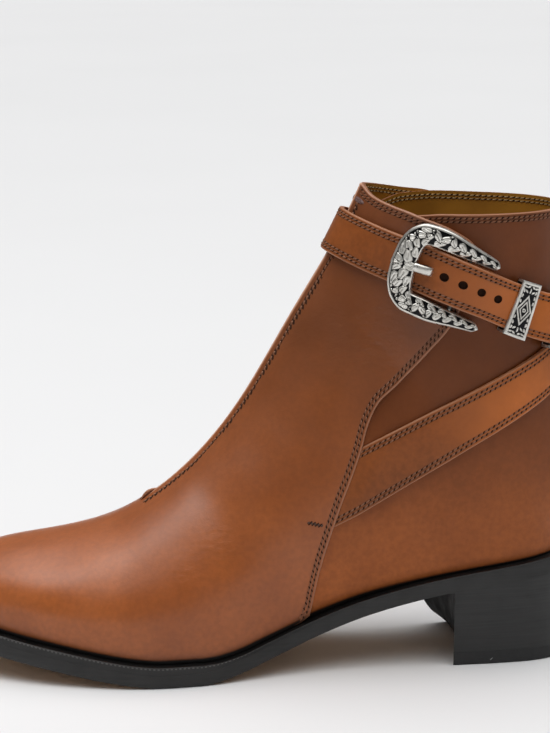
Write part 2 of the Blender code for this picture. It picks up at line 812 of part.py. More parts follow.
def make_upper(look, collection):
    rows, heel = fan_rows()
    over = both_sides(lambda side: upper_layer(side, 0.0, rows))
    under = both_sides(lambda side: upper_layer(side, -WALL, rows))
    return layered("upper", over, under, look, collection, rim_rows=heel)


def make_front_panel(look, collection):
    rows, _ = fan_rows()
    over = both_sides(lambda side: panel_layer(side, LAYER_FIT + PANEL_THICK, rows))
    under = both_sides(lambda side: panel_layer(side, LAYER_FIT, rows))
    return layered("front_panel", over, under, look, collection)


def strap_width(along, anchor):
    """The straps narrow over ANCHOR_TAPER from the flap where they are sewn in."""
    share = np.clip(1 - np.abs(along - anchor) / ANCHOR_TAPER, 0, 1)
    return STRAP_WIDTH + (ANCHOR_WIDTH - STRAP_WIDTH) * share


def make_long_strap(path, look, collection):
    share = np.linspace(-0.5, 0.5, 4)
    start = path.anchor(ANCHOR_WIDTH * share, path.along[0], path.along[0] + 70.0)
    end = TIP_END - TIP_ROUND * np.abs(2 * share) ** 2.5
    t = np.linspace(0, 1, 68)[:, None]
    along = path.along_at(path.turn(start)[None, :] * (1 - t) + path.turn(end)[None, :] * t)
    across = share[None, :] * strap_width(along, start.mean())
    lift = monotone(LONG_STRAP_LIFT)(along)
    over = path.at(along, across, lift + STRAP_THICK)
    under = path.at(along, across, lift)
    return layered("long_strap", over, under, look, collection)


def make_buckle_strap(path, look, collection):
    """The strap that holds the bar: its end is folded round the bar and lies on itself."""
    share = np.linspace(-0.5, 0.5, 4)
    end = path.anchor(ANCHOR_WIDTH * share, path.along[-1] - 70.0, path.along[-1])
    rows = []
    for turn in np.linspace(math.radians(60), math.radians(270), 8):
        for_outer = LOOP_RADIUS + LOOP_THICK / 2
        for_inner = LOOP_RADIUS - LOOP_THICK / 2
        cos, sin = math.cos(turn), math.sin(turn)
        rows.append(
            (for_outer * cos, BAR_LIFT + for_outer * sin, for_inner * cos, BAR_LIFT + for_inner * sin)
        )
    loop = np.array(rows)
    t = np.linspace(0, 1, 50)[1:, None]
    along = 2.0 * (1 - t) + end[None, :] * t
    low = monotone(BUCKLE_STRAP_LIFT)(along)
    thick = LOOP_THICK + (STRAP_THICK - LOOP_THICK) * smooth_step(along, 3.0, 12.0)
    width = np.ones((1, len(share)))
    outer_along = np.concatenate([loop[:, :1] * width, along])
    outer_lift = np.concatenate([loop[:, 1:2] * width, low])
    inner_along = np.concatenate([loop[:, 2:3] * width, along])
    inner_lift = np.concatenate([loop[:, 3:] * width, low + thick])
    across = share[None, :] * strap_width(outer_along, end.mean())
    over = path.at(outer_along, across, outer_lift)
    under = path.at(inner_along, across, inner_lift)
    return layered("buckle_strap", over, under, look, collection)


def frame_lift(along):
    """Underside of the buckle frame: highest at the rim, lower towards the ends of its arms."""
    return FRAME_LIFT[0] + (FRAME_LIFT[1] - FRAME_LIFT[0]) * smooth_step(along - RIM, 0.0, 34.0)


def make_buckle(path, look, collection, cutters):
    last = FRAME[-1][0]
    half = np.linspace(0, last, FRAME_STEPS)
    columns = [monotone(FRAME, column)(half) for column in range(1, 5)]
    outer = np.column_stack([RIM + columns[0], columns[1]])
    inner = np.column_stack([RIM + columns[2], columns[3]])
    flip = np.array([1.0, -1.0])
    outer = np.concatenate([outer, outer[-2::-1] * flip])
    inner = np.concatenate([inner, inner[-2::-1] * flip])
    rings = []
    for out, into in zip(outer, inner):
        profile = ((0.0, 0.0), (0.0, 0.75), (0.5, 1.0), (1.0, 0.75), (1.0, 0.0))
        spots = np.array([into + (out - into) * share for share, _ in profile])
        crown = np.array([level for _, level in profile]) * (FRAME_THICK + FRAME_CROWN)
        rings.append(path.at(spots[:, 0], spots[:, 1], frame_lift(spots[:, 0]) + crown))
    frame = loft("buckle_frame", rings, look, collection)
    bar = []
    reach = monotone(FRAME, 4)(28.0) + 3.0
    for across in np.linspace(-reach, reach, 7):
        turn = np.linspace(0, 2 * math.pi, 9)[:-1]
        bar.append(
            path.at(BAR_RADIUS * np.cos(turn), across + 0 * turn, BAR_LIFT + BAR_RADIUS * np.sin(turn))
        )
    bar = loft("buckle_bar", bar, look, cutters)
    join(frame, bar, "UNION")
    notch = []
    for along in np.linspace(RIM - 4.6, RIM + 1.6, 4):
        width = 2.1
        low = frame_lift(np.array(RIM - 2.0)) + FRAME_THICK - NOTCH_DEPTH + 0.5
        corners = np.array([(-width, low), (width, low), (width, low + 6.0), (-width, low + 6.0)])
        notch.append(path.at(np.full(4, along), HOLE_ACROSS + corners[:, 0], corners[:, 1]))
    join(frame, loft("prong_notch", notch, look, cutters), "DIFFERENCE")
    return frame


def make_prong(path, look, collection):
    rings = []
    for along, lift, half_wide, half_thick in PRONG:
        turn = np.linspace(0, 2 * math.pi, 9)[:-1] + math.pi / 8
        across = half_wide * np.sign(np.cos(turn)) * np.abs(np.cos(turn)) ** 0.6
        rise = half_thick * np.sign(np.sin(turn)) * np.abs(np.sin(turn)) ** 0.6
        rings.append(path.at(np.full(8, along), HOLE_ACROSS + across, lift + rise))
    return loft("buckle_prong", rings, look, collection)


def make_keeper(path, name, along, look, collection):
    """A flat metal loop round both straps."""
    low = float(monotone(BUCKLE_STRAP_LIFT)(along)) - FIT - KEEPER_BASE
    high = float(monotone(LONG_STRAP_LIFT)(along)) + STRAP_THICK + LAYER_FIT
    half = KEEPER_INSIDE / 2
    inside = [(-half, low + KEEPER_BASE), (half, low + KEEPER_BASE), (half, high), (-half, high)]
    wide = half + KEEPER_PLATE
    outside = [(-wide, low), (wide, low), (wide, high + KEEPER_PLATE), (-wide, high + KEEPER_PLATE)]
    rings = []
    for i in range(4):
        for share in np.linspace(0, 1, 4)[:-1]:
            k = (i + 1) % 4
            into = np.array(inside[i]) * (1 - share) + np.array(inside[k]) * share
            out = np.array(outside[i]) * (1 - share) + np.array(outside[k]) * share
            ends = np.array([-0.5, 0.5]) * KEEPER_LONG + along
            rings.append(
                path.at(
                    np.array([ends[0], ends[1], ends[1], ends[0]]),
                    np.array([into[0], into[0], out[0], out[0]]),
                    np.array([into[1], into[1], out[1], out[1]]),
                )
            )
    return loft(name, rings, look, collection, loop=True)


def cut_holes(strap, path, look, cutters):
    for along in (PRONG_HOLE, *HOLES):
        long = PRONG_HOLE_LENGTH if along == PRONG_HOLE else HOLE_WIDTH
        low = float(monotone(LONG_STRAP_LIFT)(along))
        turn = np.linspace(0, 2 * math.pi, 11)[:-1]
        rings = []
        for rise in (-2.2, STRAP_THICK + 2.2):
            spots = along + long / 2 * np.cos(turn)
            rings.append(path.at(spots, HOLE_ACROSS + HOLE_WIDTH / 2 * np.sin(turn), low + rise))
        join(strap, loft("strap_hole", rings, look, cutters), "DIFFERENCE")


def join(body, other, operation):
    """A Boolean that keeps the other body as a hidden helper."""
    other.hide_render = True
    other.display_type = "WIRE"
    step = body.modifiers.new(other.name, "BOOLEAN")
    step.operation = operation
    step.solver = "EXACT"
    step.object = other


def clear_scene():
    for old in list(bpy.data.objects):
        bpy.data.objects.remove(old, do_unlink=True)


def build():
    clear_scene()
    boot = bpy.data.collections.new("buckle_boot")
    cutters = bpy.data.collections.new("cutters")
    for collection in (boot, cutters):
        bpy.context.scene.collection.children.link(collection)
    leather = material("tan_leather", (0.36, 0.13, 0.05))
    panel = material("tan_leather_front", (0.42, 0.16, 0.06))
    strap = material("strap_leather", (0.45, 0.17, 0.06))
    inner_strap = material("strap_leather_inner", (0.43, 0.16, 0.06))
    black = material("black_sole", (0.02, 0.02, 0.022), rough=0.4)
    welt = material("black_welt", (0.015, 0.015, 0.015), rough=0.5)
    stack = material("stacked_heel", (0.03, 0.03, 0.03), rough=0.4)
    rubber = material("black_rubber", (0.03, 0.03, 0.03), rough=0.7)
    lining = material("lining_leather", (0.40, 0.24, 0.06), rough=0.7)
    silver = material("antique_silver", (0.62, 0.61, 0.58), metal=1.0, rough=0.3)
    prong_silver = material("antique_silver_prong", (0.66, 0.65, 0.62), metal=1.0, rough=0.3)
    keeper_silver = material("antique_silver_keeper", (0.60, 0.59, 0.56), metal=1.0, rough=0.3)
    make_outsole(black, boot)
    make_welt(welt, boot)
    make_insole(lining, boot)
    make_heel(stack, rubber, boot)
    make_upper(leather, boot)
    make_front_panel(panel, boot)
    long_path = StrapPath(cross=-1.0, way=-1, first=-1.75, last=0.995)
    buckle_path = StrapPath(cross=1.0, way=1, first=0.2, last=1.75)
    long_strap = make_long_strap(long_path, strap, boot)
    cut_holes(long_strap, long_path, strap, cutters)
    make_buckle_strap(buckle_path, inner_strap, boot)
    make_buckle(buckle_path, silver, boot, cutters)
    make_prong(buckle_path, prong_silver, boot)
    for number, along in enumerate(KEEPERS, 1):
        make_keeper(buckle_path, f"keeper_{number}", along, keeper_silver, boot)


build()
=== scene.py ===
"""Looks of the left buckle ankle boot: leather, stitching, ornament, sole and a plain studio.

Lengths are in millimetres and MM turns them into metres. The toe points along -X, the outer side of the
foot is -Y and the floor is z = 0. The upper is the same fan of sections as in the part's source, worked
out again here in finer steps: every place on it is a row u, a place q from the sole up to the ridge, and
a side.
"""
import math

import bmesh
import bpy
import numpy as np
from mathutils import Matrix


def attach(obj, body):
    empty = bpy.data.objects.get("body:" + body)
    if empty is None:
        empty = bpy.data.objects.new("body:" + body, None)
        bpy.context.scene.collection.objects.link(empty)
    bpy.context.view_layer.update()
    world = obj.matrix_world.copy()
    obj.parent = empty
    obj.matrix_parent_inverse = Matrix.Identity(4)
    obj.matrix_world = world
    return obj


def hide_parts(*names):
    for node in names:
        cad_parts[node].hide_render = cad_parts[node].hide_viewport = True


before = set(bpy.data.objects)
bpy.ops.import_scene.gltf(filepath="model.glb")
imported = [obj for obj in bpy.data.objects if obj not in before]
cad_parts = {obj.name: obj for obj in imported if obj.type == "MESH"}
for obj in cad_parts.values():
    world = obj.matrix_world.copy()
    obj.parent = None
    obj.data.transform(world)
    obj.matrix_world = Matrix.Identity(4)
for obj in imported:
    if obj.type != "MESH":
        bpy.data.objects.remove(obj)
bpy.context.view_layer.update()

MM = 0.001
FIT = 0.3
LAYER_FIT = 0.5
OUTER = -1
INNER = 1

# Sole
SOLE_HALF = 150.0
SOLE_TOE_RADIUS = 20.0
SOLE_HEEL_RADIUS = 30.5
TOE_OFFSET = 7.0
OUTSOLE_THICK = 6.0
WELT_THICK = 3.2
WELT_WIDTH = 13.0
INSOLE_THICK = 2.6
INSOLE_FIT = 0.6
# x, outer half width, inner half width
SOLE_PLAN = (
    (130.0, 28.6, 28.2),
    (110.0, 32.6, 31.8),
    (88.0, 33.9, 32.2),
    (60.0, 34.2, 28.6),
    (30.0, 36.2, 26.6),
    (0.0, 43.2, 31.2),
    (-20.0, 48.9, 40.0),
    (-36.0, 51.4, 46.6),
    (-50.0, 52.0, 50.4),
    (-65.0, 50.5, 52.0),
    (-80.0, 47.2, 50.8),
    (-100.0, 40.4, 46.4),
    (-120.0, 30.2, 39.2),
    (-135.0, 19.4, 30.4),
)
# x, height of the tread above the floor
TREAD = (
    (-150.0, 17.2),
    (-130.0, 13.6),
    (-113.0, 10.6),
    (-90.0, 6.7),
    (-68.0, 2.9),
    (-54.0, 0.9),
    (-43.0, 0.0),
    (-26.0, 0.0),
    (-18.0, 0.9),
    (-8.0, 3.6),
    (10.0, 10.3),
    (30.0, 18.2),
    (50.0, 25.2),
    (70.0, 30.6),
    (88.0, 34.4),
    (119.0, 38.9),
    (150.0, 43.4),
)
# x, distance of the upper's foot line from the edge of the sole
SEAT_INSET = (
    (-150.0, 6.6),
    (-40.0, 6.4),
    (0.0, 5.8),
    (60.0, 4.6),
    (150.0, 4.0),
)

# Heel
BREAST_X = 88.0
BREAST_HOLLOW = 5.0
INNER_CORNER_BACK = 7.0
INNER_CORNER_SWEEP = 16.0
INNER_CORNER_RISE = 9.0
HEEL_FLOOR_INSET = 2.0
TOP_LIFT_THICK = 6.0

# Upper
WALL = 1.4
PANEL_THICK = 1.5
SEAT_LIFT = OUTSOLE_THICK + WELT_THICK + 2 * FIT
HEEL_SEAT = SOLE_HALF - SEAT_INSET[-1][1]
# height above the heel seat, x of the back line
BACK = (
    (0.0, 144.6),
    (14.0, 147.2),
    (30.0, 147.8),
    (53.0, 146.0),
    (83.0, 142.8),
    (113.0, 140.7),
    (153.0, 139.3),
    (190.0, 138.8),
)
# columns of FAN that are asked for by name
RIDGE_X = 0
RIDGE_Z = 1
SEAT = 2
# ridge x, ridge z, seat station, outer swell, inner swell, height of the widest place, crest
FAN = (
    (-141.4, 26.4, -143.4, 0.0, 0.0, 0.30, 0.90),
    (-140.4, 32.4, -141.2, 4.2, 4.2, 0.30, 0.90),
    (-137.2, 38.4, -136.6, 6.2, 6.2, 0.30, 0.92),
    (-131.2, 43.4, -129.4, 7.4, 7.4, 0.30, 0.94),
    (-122.0, 47.6, -119.6, 8.4, 8.4, 0.30, 0.97),
    (-108.0, 51.4, -105.0, 9.2, 9.2, 0.30, 1.00),
    (-90.0, 54.4, -86.0, 9.8, 10.0, 0.30, 1.04),
    (-72.0, 58.4, -64.0, 10.8, 11.8, 0.30, 1.08),
    (-55.0, 65.6, -42.0, 12.4, 14.6, 0.30, 1.12),
    (-38.5, 76.6, -20.0, 14.8, 18.6, 0.31, 1.17),
    (-24.0, 89.6, 4.0, 17.8, 22.8, 0.33, 1.22),
    (-11.0, 104.6, 30.0, 19.8, 24.0, 0.35, 1.26),
    (0.5, 121.4, 60.0, 19.6, 22.0, 0.37, 1.28),
    (10.0, 137.6, 90.0, 18.0, 18.8, 0.39, 1.28),
    (17.6, 151.0, 116.0, 20.0, 20.0, 0.41, 1.28),
    (23.8, 161.6, 136.0, 27.0, 26.4, 0.43, 1.28),
    (29.2, 170.6, 146.0, 33.4, 32.8, 0.45, 1.28),
    (34.2, 179.0, 162.0, 33.2, 32.6, 0.47, 1.29),
    (39.0, 187.8, 186.0, 32.8, 32.4, 0.49, 1.31),
    (43.3, 196.6, 214.0, 32.6, 32.4, 0.50, 1.34),
    (47.0, 204.6, 246.0, 32.8, 32.6, 0.50, 1.37),
    (50.5, 212.6, 277.0, 33.0, 32.8, 0.50, 1.40),
    (54.0, 221.0, 308.0, 33.2, 33.0, 0.50, 1.40),
)
FLAP_FOOT = 22.6
HEEL_ROW = 16.0
SHAFT_ROW = 17.0
INSTEP_ROW = 11.0
# height, x of the rear edge of the flap
FLAP_REAR = (
    (8.0, 19.0),
    (27.0, 23.0),
    (39.0, 25.4),
    (52.0, 28.6),
    (64.0, 32.4),
    (76.0, 36.6),
    (90.0, 42.2),
    (102.0, 46.4),
    (110.0, 48.6),
    (120.0, 53.2),
    (129.0, 62.2),
    (143.0, 75.0),
    (156.0, 85.2),
    (172.0, 92.2),
    (184.0, 95.2),
    (196.0, 97.8),
)

# Straps: a line is x, z and slope of the band's middle seen from the side
STRAP_WIDTH = 20.4
ANCHOR_WIDTH = 25.4
ANCHOR_TAPER = 90.0
STRAP_THICK = 1.9
UPPER_LINE = (37.0, 192.7, -0.405)
UPPER_BOW = (82.0, 22.0, 2.7)
LOWER_LINE = (40.0, 84.3, 0.545)
LOWER_FRONT = -20.0
# half the share of a turn over which a band changes its line
CROSS_HALF = 0.24
# first guesses of the x of the back and the front
BACK_GUESS = 142.0
FRONT_GUESS = 45.0
BAR_X = 88.0
TIP_END = 61.0
TIP_ROUND = 6.0
# place along the buckle strap, height of its underside above the upper
BUCKLE_STRAP_LIFT = (
    (2.0, 3.0),
    (5.0, 2.7),
    (9.0, 1.2),
    (14.0, 1.0),
    (22.5, 1.5),
    (34.0, 1.5),
    (38.5, 3.2),
    (43.0, 4.0),
    (54.0, 4.0),
    (64.0, 3.3),
    (109.0, 3.2),
    (116.0, 0.6),
    (260.0, 0.6),
)
# place along the long strap, height of its underside above the upper
LONG_STRAP_LIFT = (
    (-400.0, 0.6),
    (-150.0, 0.6),
    (-136.0, 2.6),
    (-92.0, 2.8),
    (-66.0, 4.2),
    (-60.0, 4.2),
    (-42.0, 3.0),
    (-32.0, 3.0),
    (-21.0, 3.4),
    (-17.5, 3.7),
    (-13.5, 5.2),
    (-6.0, 7.5),
    (0.0, 8.1),
    (5.0, 7.8),
    (15.0, 5.2),
    (22.5, 3.9),
    (34.0, 3.9),
    (38.5, 5.6),
    (43.0, 6.4),
    (70.0, 6.4),
)
HOLE_WIDTH = 3.7
HOLE_ACROSS = 0.6
PRONG_HOLE_LENGTH = 7.0
PRONG_HOLE = -14.0
HOLES = (-6.8, 0.8, 8.6, 16.5)

# Buckle and keepers, placed along the strap from the bar, across it and above the upper
BAR_RADIUS = 1.0
BAR_LIFT = 5.2
LOOP_RADIUS = 1.9
LOOP_THICK = 1.2
RIM = -20.0
FRAME_THICK = 3.0
FRAME_CROWN = 0.8
FRAME_LIFT = (6.0, 3.6)
# angle round the horseshoe, outer edge along and across, inner edge along and across (from RIM)
FRAME = (
    (0.0, 31.8, 14.9, 31.6, 13.0),
    (12.0, 28.4, 17.4, 28.0, 12.3),
    (28.0, 20.2, 18.8, 20.2, 11.8),
    (46.0, 10.2, 20.0, 9.2, 11.3),
    (62.0, 1.6, 19.4, 3.8, 11.0),
    (76.0, -4.6, 15.4, 2.2, 9.0),
    (88.0, -8.0, 8.0, 1.6, 4.8),
    (100.0, -8.9, 0.0, 1.3, 0.0),
)
KEEPERS = (28.6, 48.6)
KEEPER_LONG = 9.6
KEEPER_INSIDE = 22.4
KEEPER_PLATE = 1.2
KEEPER_BASE = 0.7

# Fine form of the upper, added to the solids' form
# x, height of the upper edge of the outer flap, with the dip behind its front corner
OUTER_TOP = (
    (40.0, 219.0),
    (50.3, 213.0),
    (51.6, 210.8),
    (53.5, 208.8),
    (58.9, 206.4),
    (67.6, 203.6),
    (72.7, 201.7),
    (80.5, 199.0),
    (87.2, 195.7),
    (92.7, 192.0),
    (95.1, 189.0),
    (96.4, 186.0),
    (97.6, 180.0),
    (100.0, 150.0),
)
# x, height of the upper edge of the inner flap
INNER_TOP = (
    (40.0, 217.4),
    (50.5, 212.8),
    (60.8, 209.7),
    (71.5, 207.1),
    (81.5, 205.3),
    (86.6, 203.6),
    (90.5, 200.6),
    (93.6, 195.6),
    (95.8, 187.0),
    (97.2, 180.0),
    (100.0, 150.0),
)
# x, height of the collar on each side, which dips where the flap covers it
OUTER_COLLAR = (
    (40.0, 196.0),
    (50.5, 199.0),
    (60.0, 201.4),
    (71.0, 202.6),
    (82.0, 203.6),
    (150.0, 203.6),
)
INNER_COLLAR = (
    (40.0, 196.0),
    (50.5, 199.0),
    (60.0, 203.0),
    (70.0, 205.0),
    (82.0, 204.9),
    (95.0, 204.3),
    (110.0, 203.8),
    (150.0, 203.6),
)
# x, how far the seat of the upper sinks into the thinner edge of the waist and heel
SEAT_SINK = (
    (-150.0, 0.0),
    (-30.0, 0.0),
    (-4.0, 2.1),
    (150.0, 2.2),
)
SINK_REACH = 16.0
# half width, height (a trough is below 0), side, x and z of the points that a crease follows
CREASES = (
    (6.5, 0.75, OUTER, ((-122.0, 40.6), (-97.0, 42.9), (-82.0, 44.6), (-66.0, 51.7), (-51.0, 56.8),
                        (-42.0, 62.8), (-29.0, 72.4))),
    (6.5, -0.45, OUTER, ((-108.0, 49.0), (-92.0, 49.0), (-75.0, 52.4), (-63.0, 58.4), (-50.0, 66.0))),
    (9.0, -0.8, OUTER, ((-25.0, 86.0), (-14.0, 68.0), (-6.0, 46.0))),
    (8.0, 0.5, OUTER, ((-8.0, 98.0), (6.0, 76.0), (10.0, 52.0))),
    (7.0, -0.5, OUTER, ((8.0, 118.0), (24.0, 102.0), (36.0, 88.0))),
    (6.5, 0.5, INNER, ((-120.0, 41.0), (-90.0, 43.6), (-66.0, 51.0), (-46.0, 58.0))),
    (7.0, -0.8, INNER, ((-34.0, 72.0), (-24.0, 58.0), (-18.0, 40.0))),
    (9.0, -0.7, INNER, ((-8.0, 94.0), (6.0, 72.0), (14.0, 48.0))),
)
CREASE_STEP = 3.0
CREASE_TAPER = 0.25
CREASE_END = 0.2
CREASE_FADE = (0.1, 0.08)
# x, z and radius of a place where the leather shows fine wrinkles, and its side
WRINKLES = (
    (44.0, 146.0, 20.0, OUTER),
    (-14.0, 59.0, 9.0, OUTER),
    (-28.0, 47.0, 8.0, OUTER),
    (-24.0, 54.0, 12.0, INNER),
    (20.0, 120.0, 18.0, INNER),
)
# Painted shade of the crevice above the welt: its width at the toe and at the heel, and the x over which it
# narrows
FOOT_SHADE_WIDE = (3.0, 2.0)
FOOT_SHADE_FADE = (40.0, 90.0)

# Sheets of leather: the steps of their grids, their edges, seams and grooves
TINY = 1e-9
MERGE = 0.004
VAMP_MERGE = 0.03
SHARP_ANGLE = 38.0
GAUGE_LIFT = 1.0
# distances from a cut edge where a sheet of leather gets a line of points
EDGE_STEPS = (0.0, 0.1, 0.25, 0.45, 0.8, 1.2, 1.55, 1.9, 2.25, 2.6, 2.95, 3.3, 3.65, 4.1, 5.0, 6.5, 8.5)
# distances from the ridge where a flap gets a line of points
RIDGE_STEPS = (6.4, 5.0, 4.0, 3.2, 2.6, 2.2, 1.8, 1.4, 1.1, 0.8, 0.5, 0.25, 0.1, 0.0)
TOE_ROWS = (0.0, 0.03, 0.08, 0.15, 0.25, 0.4, 0.55, 0.7, 0.85)
VAMP_STEP = 0.15
WAIST_ROW = 10.0
COLLAR_REACH = 40.0
FLAP_ACROSS = 75.0
FLAP_PLAIN = 67.0
FLAP_HIGH = 118.0
INNER_FLAP_HIGH = 135.0
FLAP_LIFT = LAYER_FIT + PANEL_THICK
FLAP_UNDER = 0.05
EDGE_ROUND = 0.7
THIN_ROUND = 0.6
# distances from a cut edge between which its pale colour fades
FLAP_CUT = (0.45, 0.8)
THIN_CUT = (0.4, 0.7)
STRAP_CUT = (0.4, 0.75)
GROOVE_HALF = 0.42
GROOVE_DEPTH = 0.13

# Front seam, the throat at its foot and the medial seam
THROAT_ROW = 8.42
SEAM_START = 0.4
SEAM_RISE = 0.65
SEAM_ROUND = 1.2
SEAM_FADE = (2.4, 4.2)
PIPING_FADE = (1.6, 2.6)
THROAT_START = -0.02
THROAT_LONG = 0.46
THROAT_STAND = 0.2
THROAT_RISE = 1.25
THROAT_SINK = 0.6
THROAT_SIDE = 0.6
THROAT_BEAD = 0.75
THROAT_SLIT = 0.2
SEAM_SWEEP = 1.4
SEAM_LAP = 0.12
SEAM_TUCK = 0.8
TUCK_FADE = (1.0, 7.0)
RIDGE_FADE = 0.06
RIDGE_TUCK = 0.35
RIDGE_TUCK_FADE = (0.4, 3.0)
INNER_DROP = 0.1
BACK_SEAM_TOP = 203.0
BACK_SEAM_HALF = 1.3
BACK_SEAM_RISE = 0.55
BACK_SEAM_SINK = 0.8

# Stitches: distances of the rows from an edge, and the form of one stitch
STITCH_ROWS = (1.75, 3.25)
FRONT_ROW = 4.9
MEDIAL_ROW = 1.8
STITCH_PITCH = 2.6
STITCH_WIDE = 0.7
FRONT_WIDE = 1.1
STITCH_SLANT = 10.0
STITCH_LONG = 0.8
STITCH_SIDES = 5
STITCH_RISE = 0.26
STITCH_SINK = 0.06
STITCH_FLAT = 0.8
# place along the stitch, share of its full thickness
STITCH_RINGS = ((-0.5, 0.4), (-0.36, 0.85), (0.0, 1.0), (0.36, 0.85), (0.5, 0.4))
THREAD_ANGLE = 60.0
SEW_STEP = 0.25
SEW_REACH = 0.4
# half length, half width and angle of the pricked holes
STITCH_HOLE = (0.95, 0.42, 30.0)
LINING_HOLE = (0.72, 0.34, 34.0)
FRONT_HOLE = (2.4, 0.78, 52.0)
HOLE_SIDES = 8
HOLE_LIFT = (0.07, 0.1)
# x, z, half length, half width and angle of the oval of thread at the top
TOP_TACK = (48.2, 205.9, 2.6, 1.2, -28.0)
# share of the oval, height above the flap
TACK_RINGS = ((1.0, 0.05), (0.92, 0.35), (0.6, 0.51), (0.15, 0.55))
TACK_RIDGE = 0.1
TACK_PITCH = 0.8
# x and z of the ends of the tack at the side, and how it is sewn
SIDE_TACK = ((21.6, 69.4), (28.8, 67.7))
SIDE_TACK_SEWN = {"pitch": 1.3, "wide": 1.0, "slant": 58.0, "hole": (1.35, 0.36, 58.0)}

# Fine form of the straps: sunk under the flaps, a crowned middle and a fold round the bar
ANCHOR_TUCK = -1.0
ANCHOR_SEARCH = (3.0, 70.0)
ANCHOR_SKEW = 40.0
SUNK_REACH = 16.0
SUNK_LIFT = 0.1
SUNK_THIN = 0.7
STRAP_CROWN = 0.12
STRAP_STEP = 1.7
FINE_ALONG = (-26.0, 22.0)
TIP_POWER = 2.5
TIP_REACH = 11.0
TIP_GAP = 0.92
HOLE_FLOOR = 0.5
FOLD_TURN = (60.0, 270.0)
FOLD_THICKEN = (3.0, 12.0)
FOLD_FLAT = (8.0, 14.0)

# Relief and rims of the metal
METAL_ROUND = 0.5
RIM_SLOPE = 0.3
FRAME_RIM = (0.6, 1.05)
FRAME_DROP = 34.0
RING_GROOVE = 0.2
RING_DEPTH = 0.7
RELIEF_DEPTH = 0.62
TIP_WIDE = (16.7, 12.3)
LOWER_ARM = 2.3
LOWER_ARM_FADE = (8.0, 34.0)
ARM_SAG = 0.9
ARM_SAG_FADE = (4.0, 20.0)
ARM_SLIM = 0.25
ARM_SLIM_FADE = (8.0, 24.0)
BAR_ANGLE = 28.0
BAR_BITE = 1.2
# painted shade on the bar, which lies in the strap's shadow
BAR_SHADE = 0.9
# place along the band from its middle, share across it, angle to the band, length, half width, bend
LEAVES = (
    (-0.4, 0.52, 84.0, 3.6, 1.3, 0.0),
    (0.5, 0.62, 40.0, 3.6, 1.25, 0.3),
    (0.4, 0.42, -62.0, 3.4, 1.3, -0.4),
    (1.6, 0.34, 8.0, 5.4, 1.5, 0.4),
    (3.6, 0.72, 20.0, 4.6, 1.35, -0.4),
    (5.2, 0.14, 2.0, 4.8, 1.2, 0.3),
    (6.6, 0.46, 30.0, 5.2, 1.5, 0.7),
    (8.8, 0.92, -26.0, 4.8, 1.3, -0.5),
    (10.2, 0.20, 36.0, 5.4, 1.5, 0.9),
    (12.4, 0.72, -14.0, 5.0, 1.4, -0.7),
    (13.4, 0.10, 6.0, 4.6, 1.2, 0.3),
    (15.6, 0.96, -24.0, 4.4, 1.3, -0.5),
    (16.6, 0.32, 34.0, 5.0, 1.5, 0.9),
    (19.4, 0.86, -38.0, 4.8, 1.4, -0.9),
    (20.4, 0.08, 14.0, 4.4, 1.25, 0.5),
    (22.8, 0.40, 30.0, 4.6, 1.4, 0.8),
    (25.2, 0.92, -40.0, 4.6, 1.35, -0.9),
    (26.2, 0.10, 22.0, 4.4, 1.3, 0.6),
    (29.2, 0.84, -38.0, 4.4, 1.4, -0.9),
    (30.6, 0.12, 26.0, 4.2, 1.35, 0.7),
    (33.4, 0.86, -38.0, 4.2, 1.35, -0.9),
    (35.0, 0.12, 28.0, 4.0, 1.35, 0.7),
    (37.8, 0.86, -38.0, 3.8, 1.3, -0.8),
    (39.4, 0.16, 26.0, 3.6, 1.3, 0.6),
    (42.0, 0.82, -34.0, 3.4, 1.25, -0.6),
    (43.8, 0.24, 20.0, 3.0, 1.2, 0.4),
    (46.4, 0.66, -20.0, 2.6, 1.2, -0.3),
)
FIELD_WIDE = 6.4
LEAF_GROW = 1.1
LEAF_BEND = 1.2
LEAF_POINT = 0.62
VEIN_HALF = 0.22
VEIN_DEPTH = 0.62
# place along the prong, height of its middle, half width, half thickness
PRONG_LOOK = (
    (-3.3, 4.8, 1.4, 0.8),
    (-9.6, 4.4, 1.5, 0.8),
    (-11.0, 6.0, 1.65, 0.9),
    (-12.2, 8.4, 1.85, 1.05),
    (-14.6, 9.6, 1.9, 1.1),
    (-17.0, 10.0, 1.95, 1.15),
    (-19.4, 10.3, 1.9, 1.1),
)
PRONG_ROUND = 1.1
# place along and across the keeper, angle, half length and half width of a leaf in each quarter of it
KEEPER_LEAVES = (
    (2.75, 10.2, 20.0, 1.1, 0.5),
    (1.15, 10.3, -35.0, 0.95, 0.5),
    (2.9, 8.3, 75.0, 1.0, 0.5),
    (1.6, 8.2, 40.0, 1.05, 0.45),
    (0.0, 8.7, 90.0, 1.3, 0.45),
    (2.95, 6.0, 100.0, 1.0, 0.5),
    (2.95, 3.6, 80.0, 0.9, 0.42),
)
KEEPER_DIAMOND = (3.1, 6.2)
# size of a diamond, half width of its line
KEEPER_LINES = ((1.0, 0.13), (0.6, 0.1))
KEEPER_RING = (0.57, 0.34)
KEEPER_RIM = 1.25
KEEPER_CROWN = 0.35
KEEPER_DEPTH = 0.42
# painted shade on the keeper's walls and base
KEEPER_WALL_SHADE = 0.8
KEEPER_WALL_DROP = 0.4
KEEPER_EDGE_DROP = 0.3
KEEPER_CLEAR = 0.02
# place along the keeper's half length, share that its walls shrink there
KEEPER_ENDS = ((-1.0, 0.12), (-0.97, 0.04), (-0.92, 0.0), (0.92, 0.0), (0.97, 0.04), (1.0, 0.12))

# Rings round the sole and heel: inset from the edge, height above the tread
OUTSOLE_PROFILE = ((1.0, 0.0), (0.35, 0.2), (0.0, 0.8), (0.0, 3.0), (0.0, 5.98), (0.5, 6.0))
HEEL_PROFILE = ((0.0, 0.0), (0.0, 0.01), (0.0, 0.4))
SQUARE_FADE = (BREAST_X - 4.0, BREAST_X)
# inset, height above the outsole
WELT_LOW = ((WELT_WIDTH, 0.0), (0.5, 0.0), (0.0, 0.02))
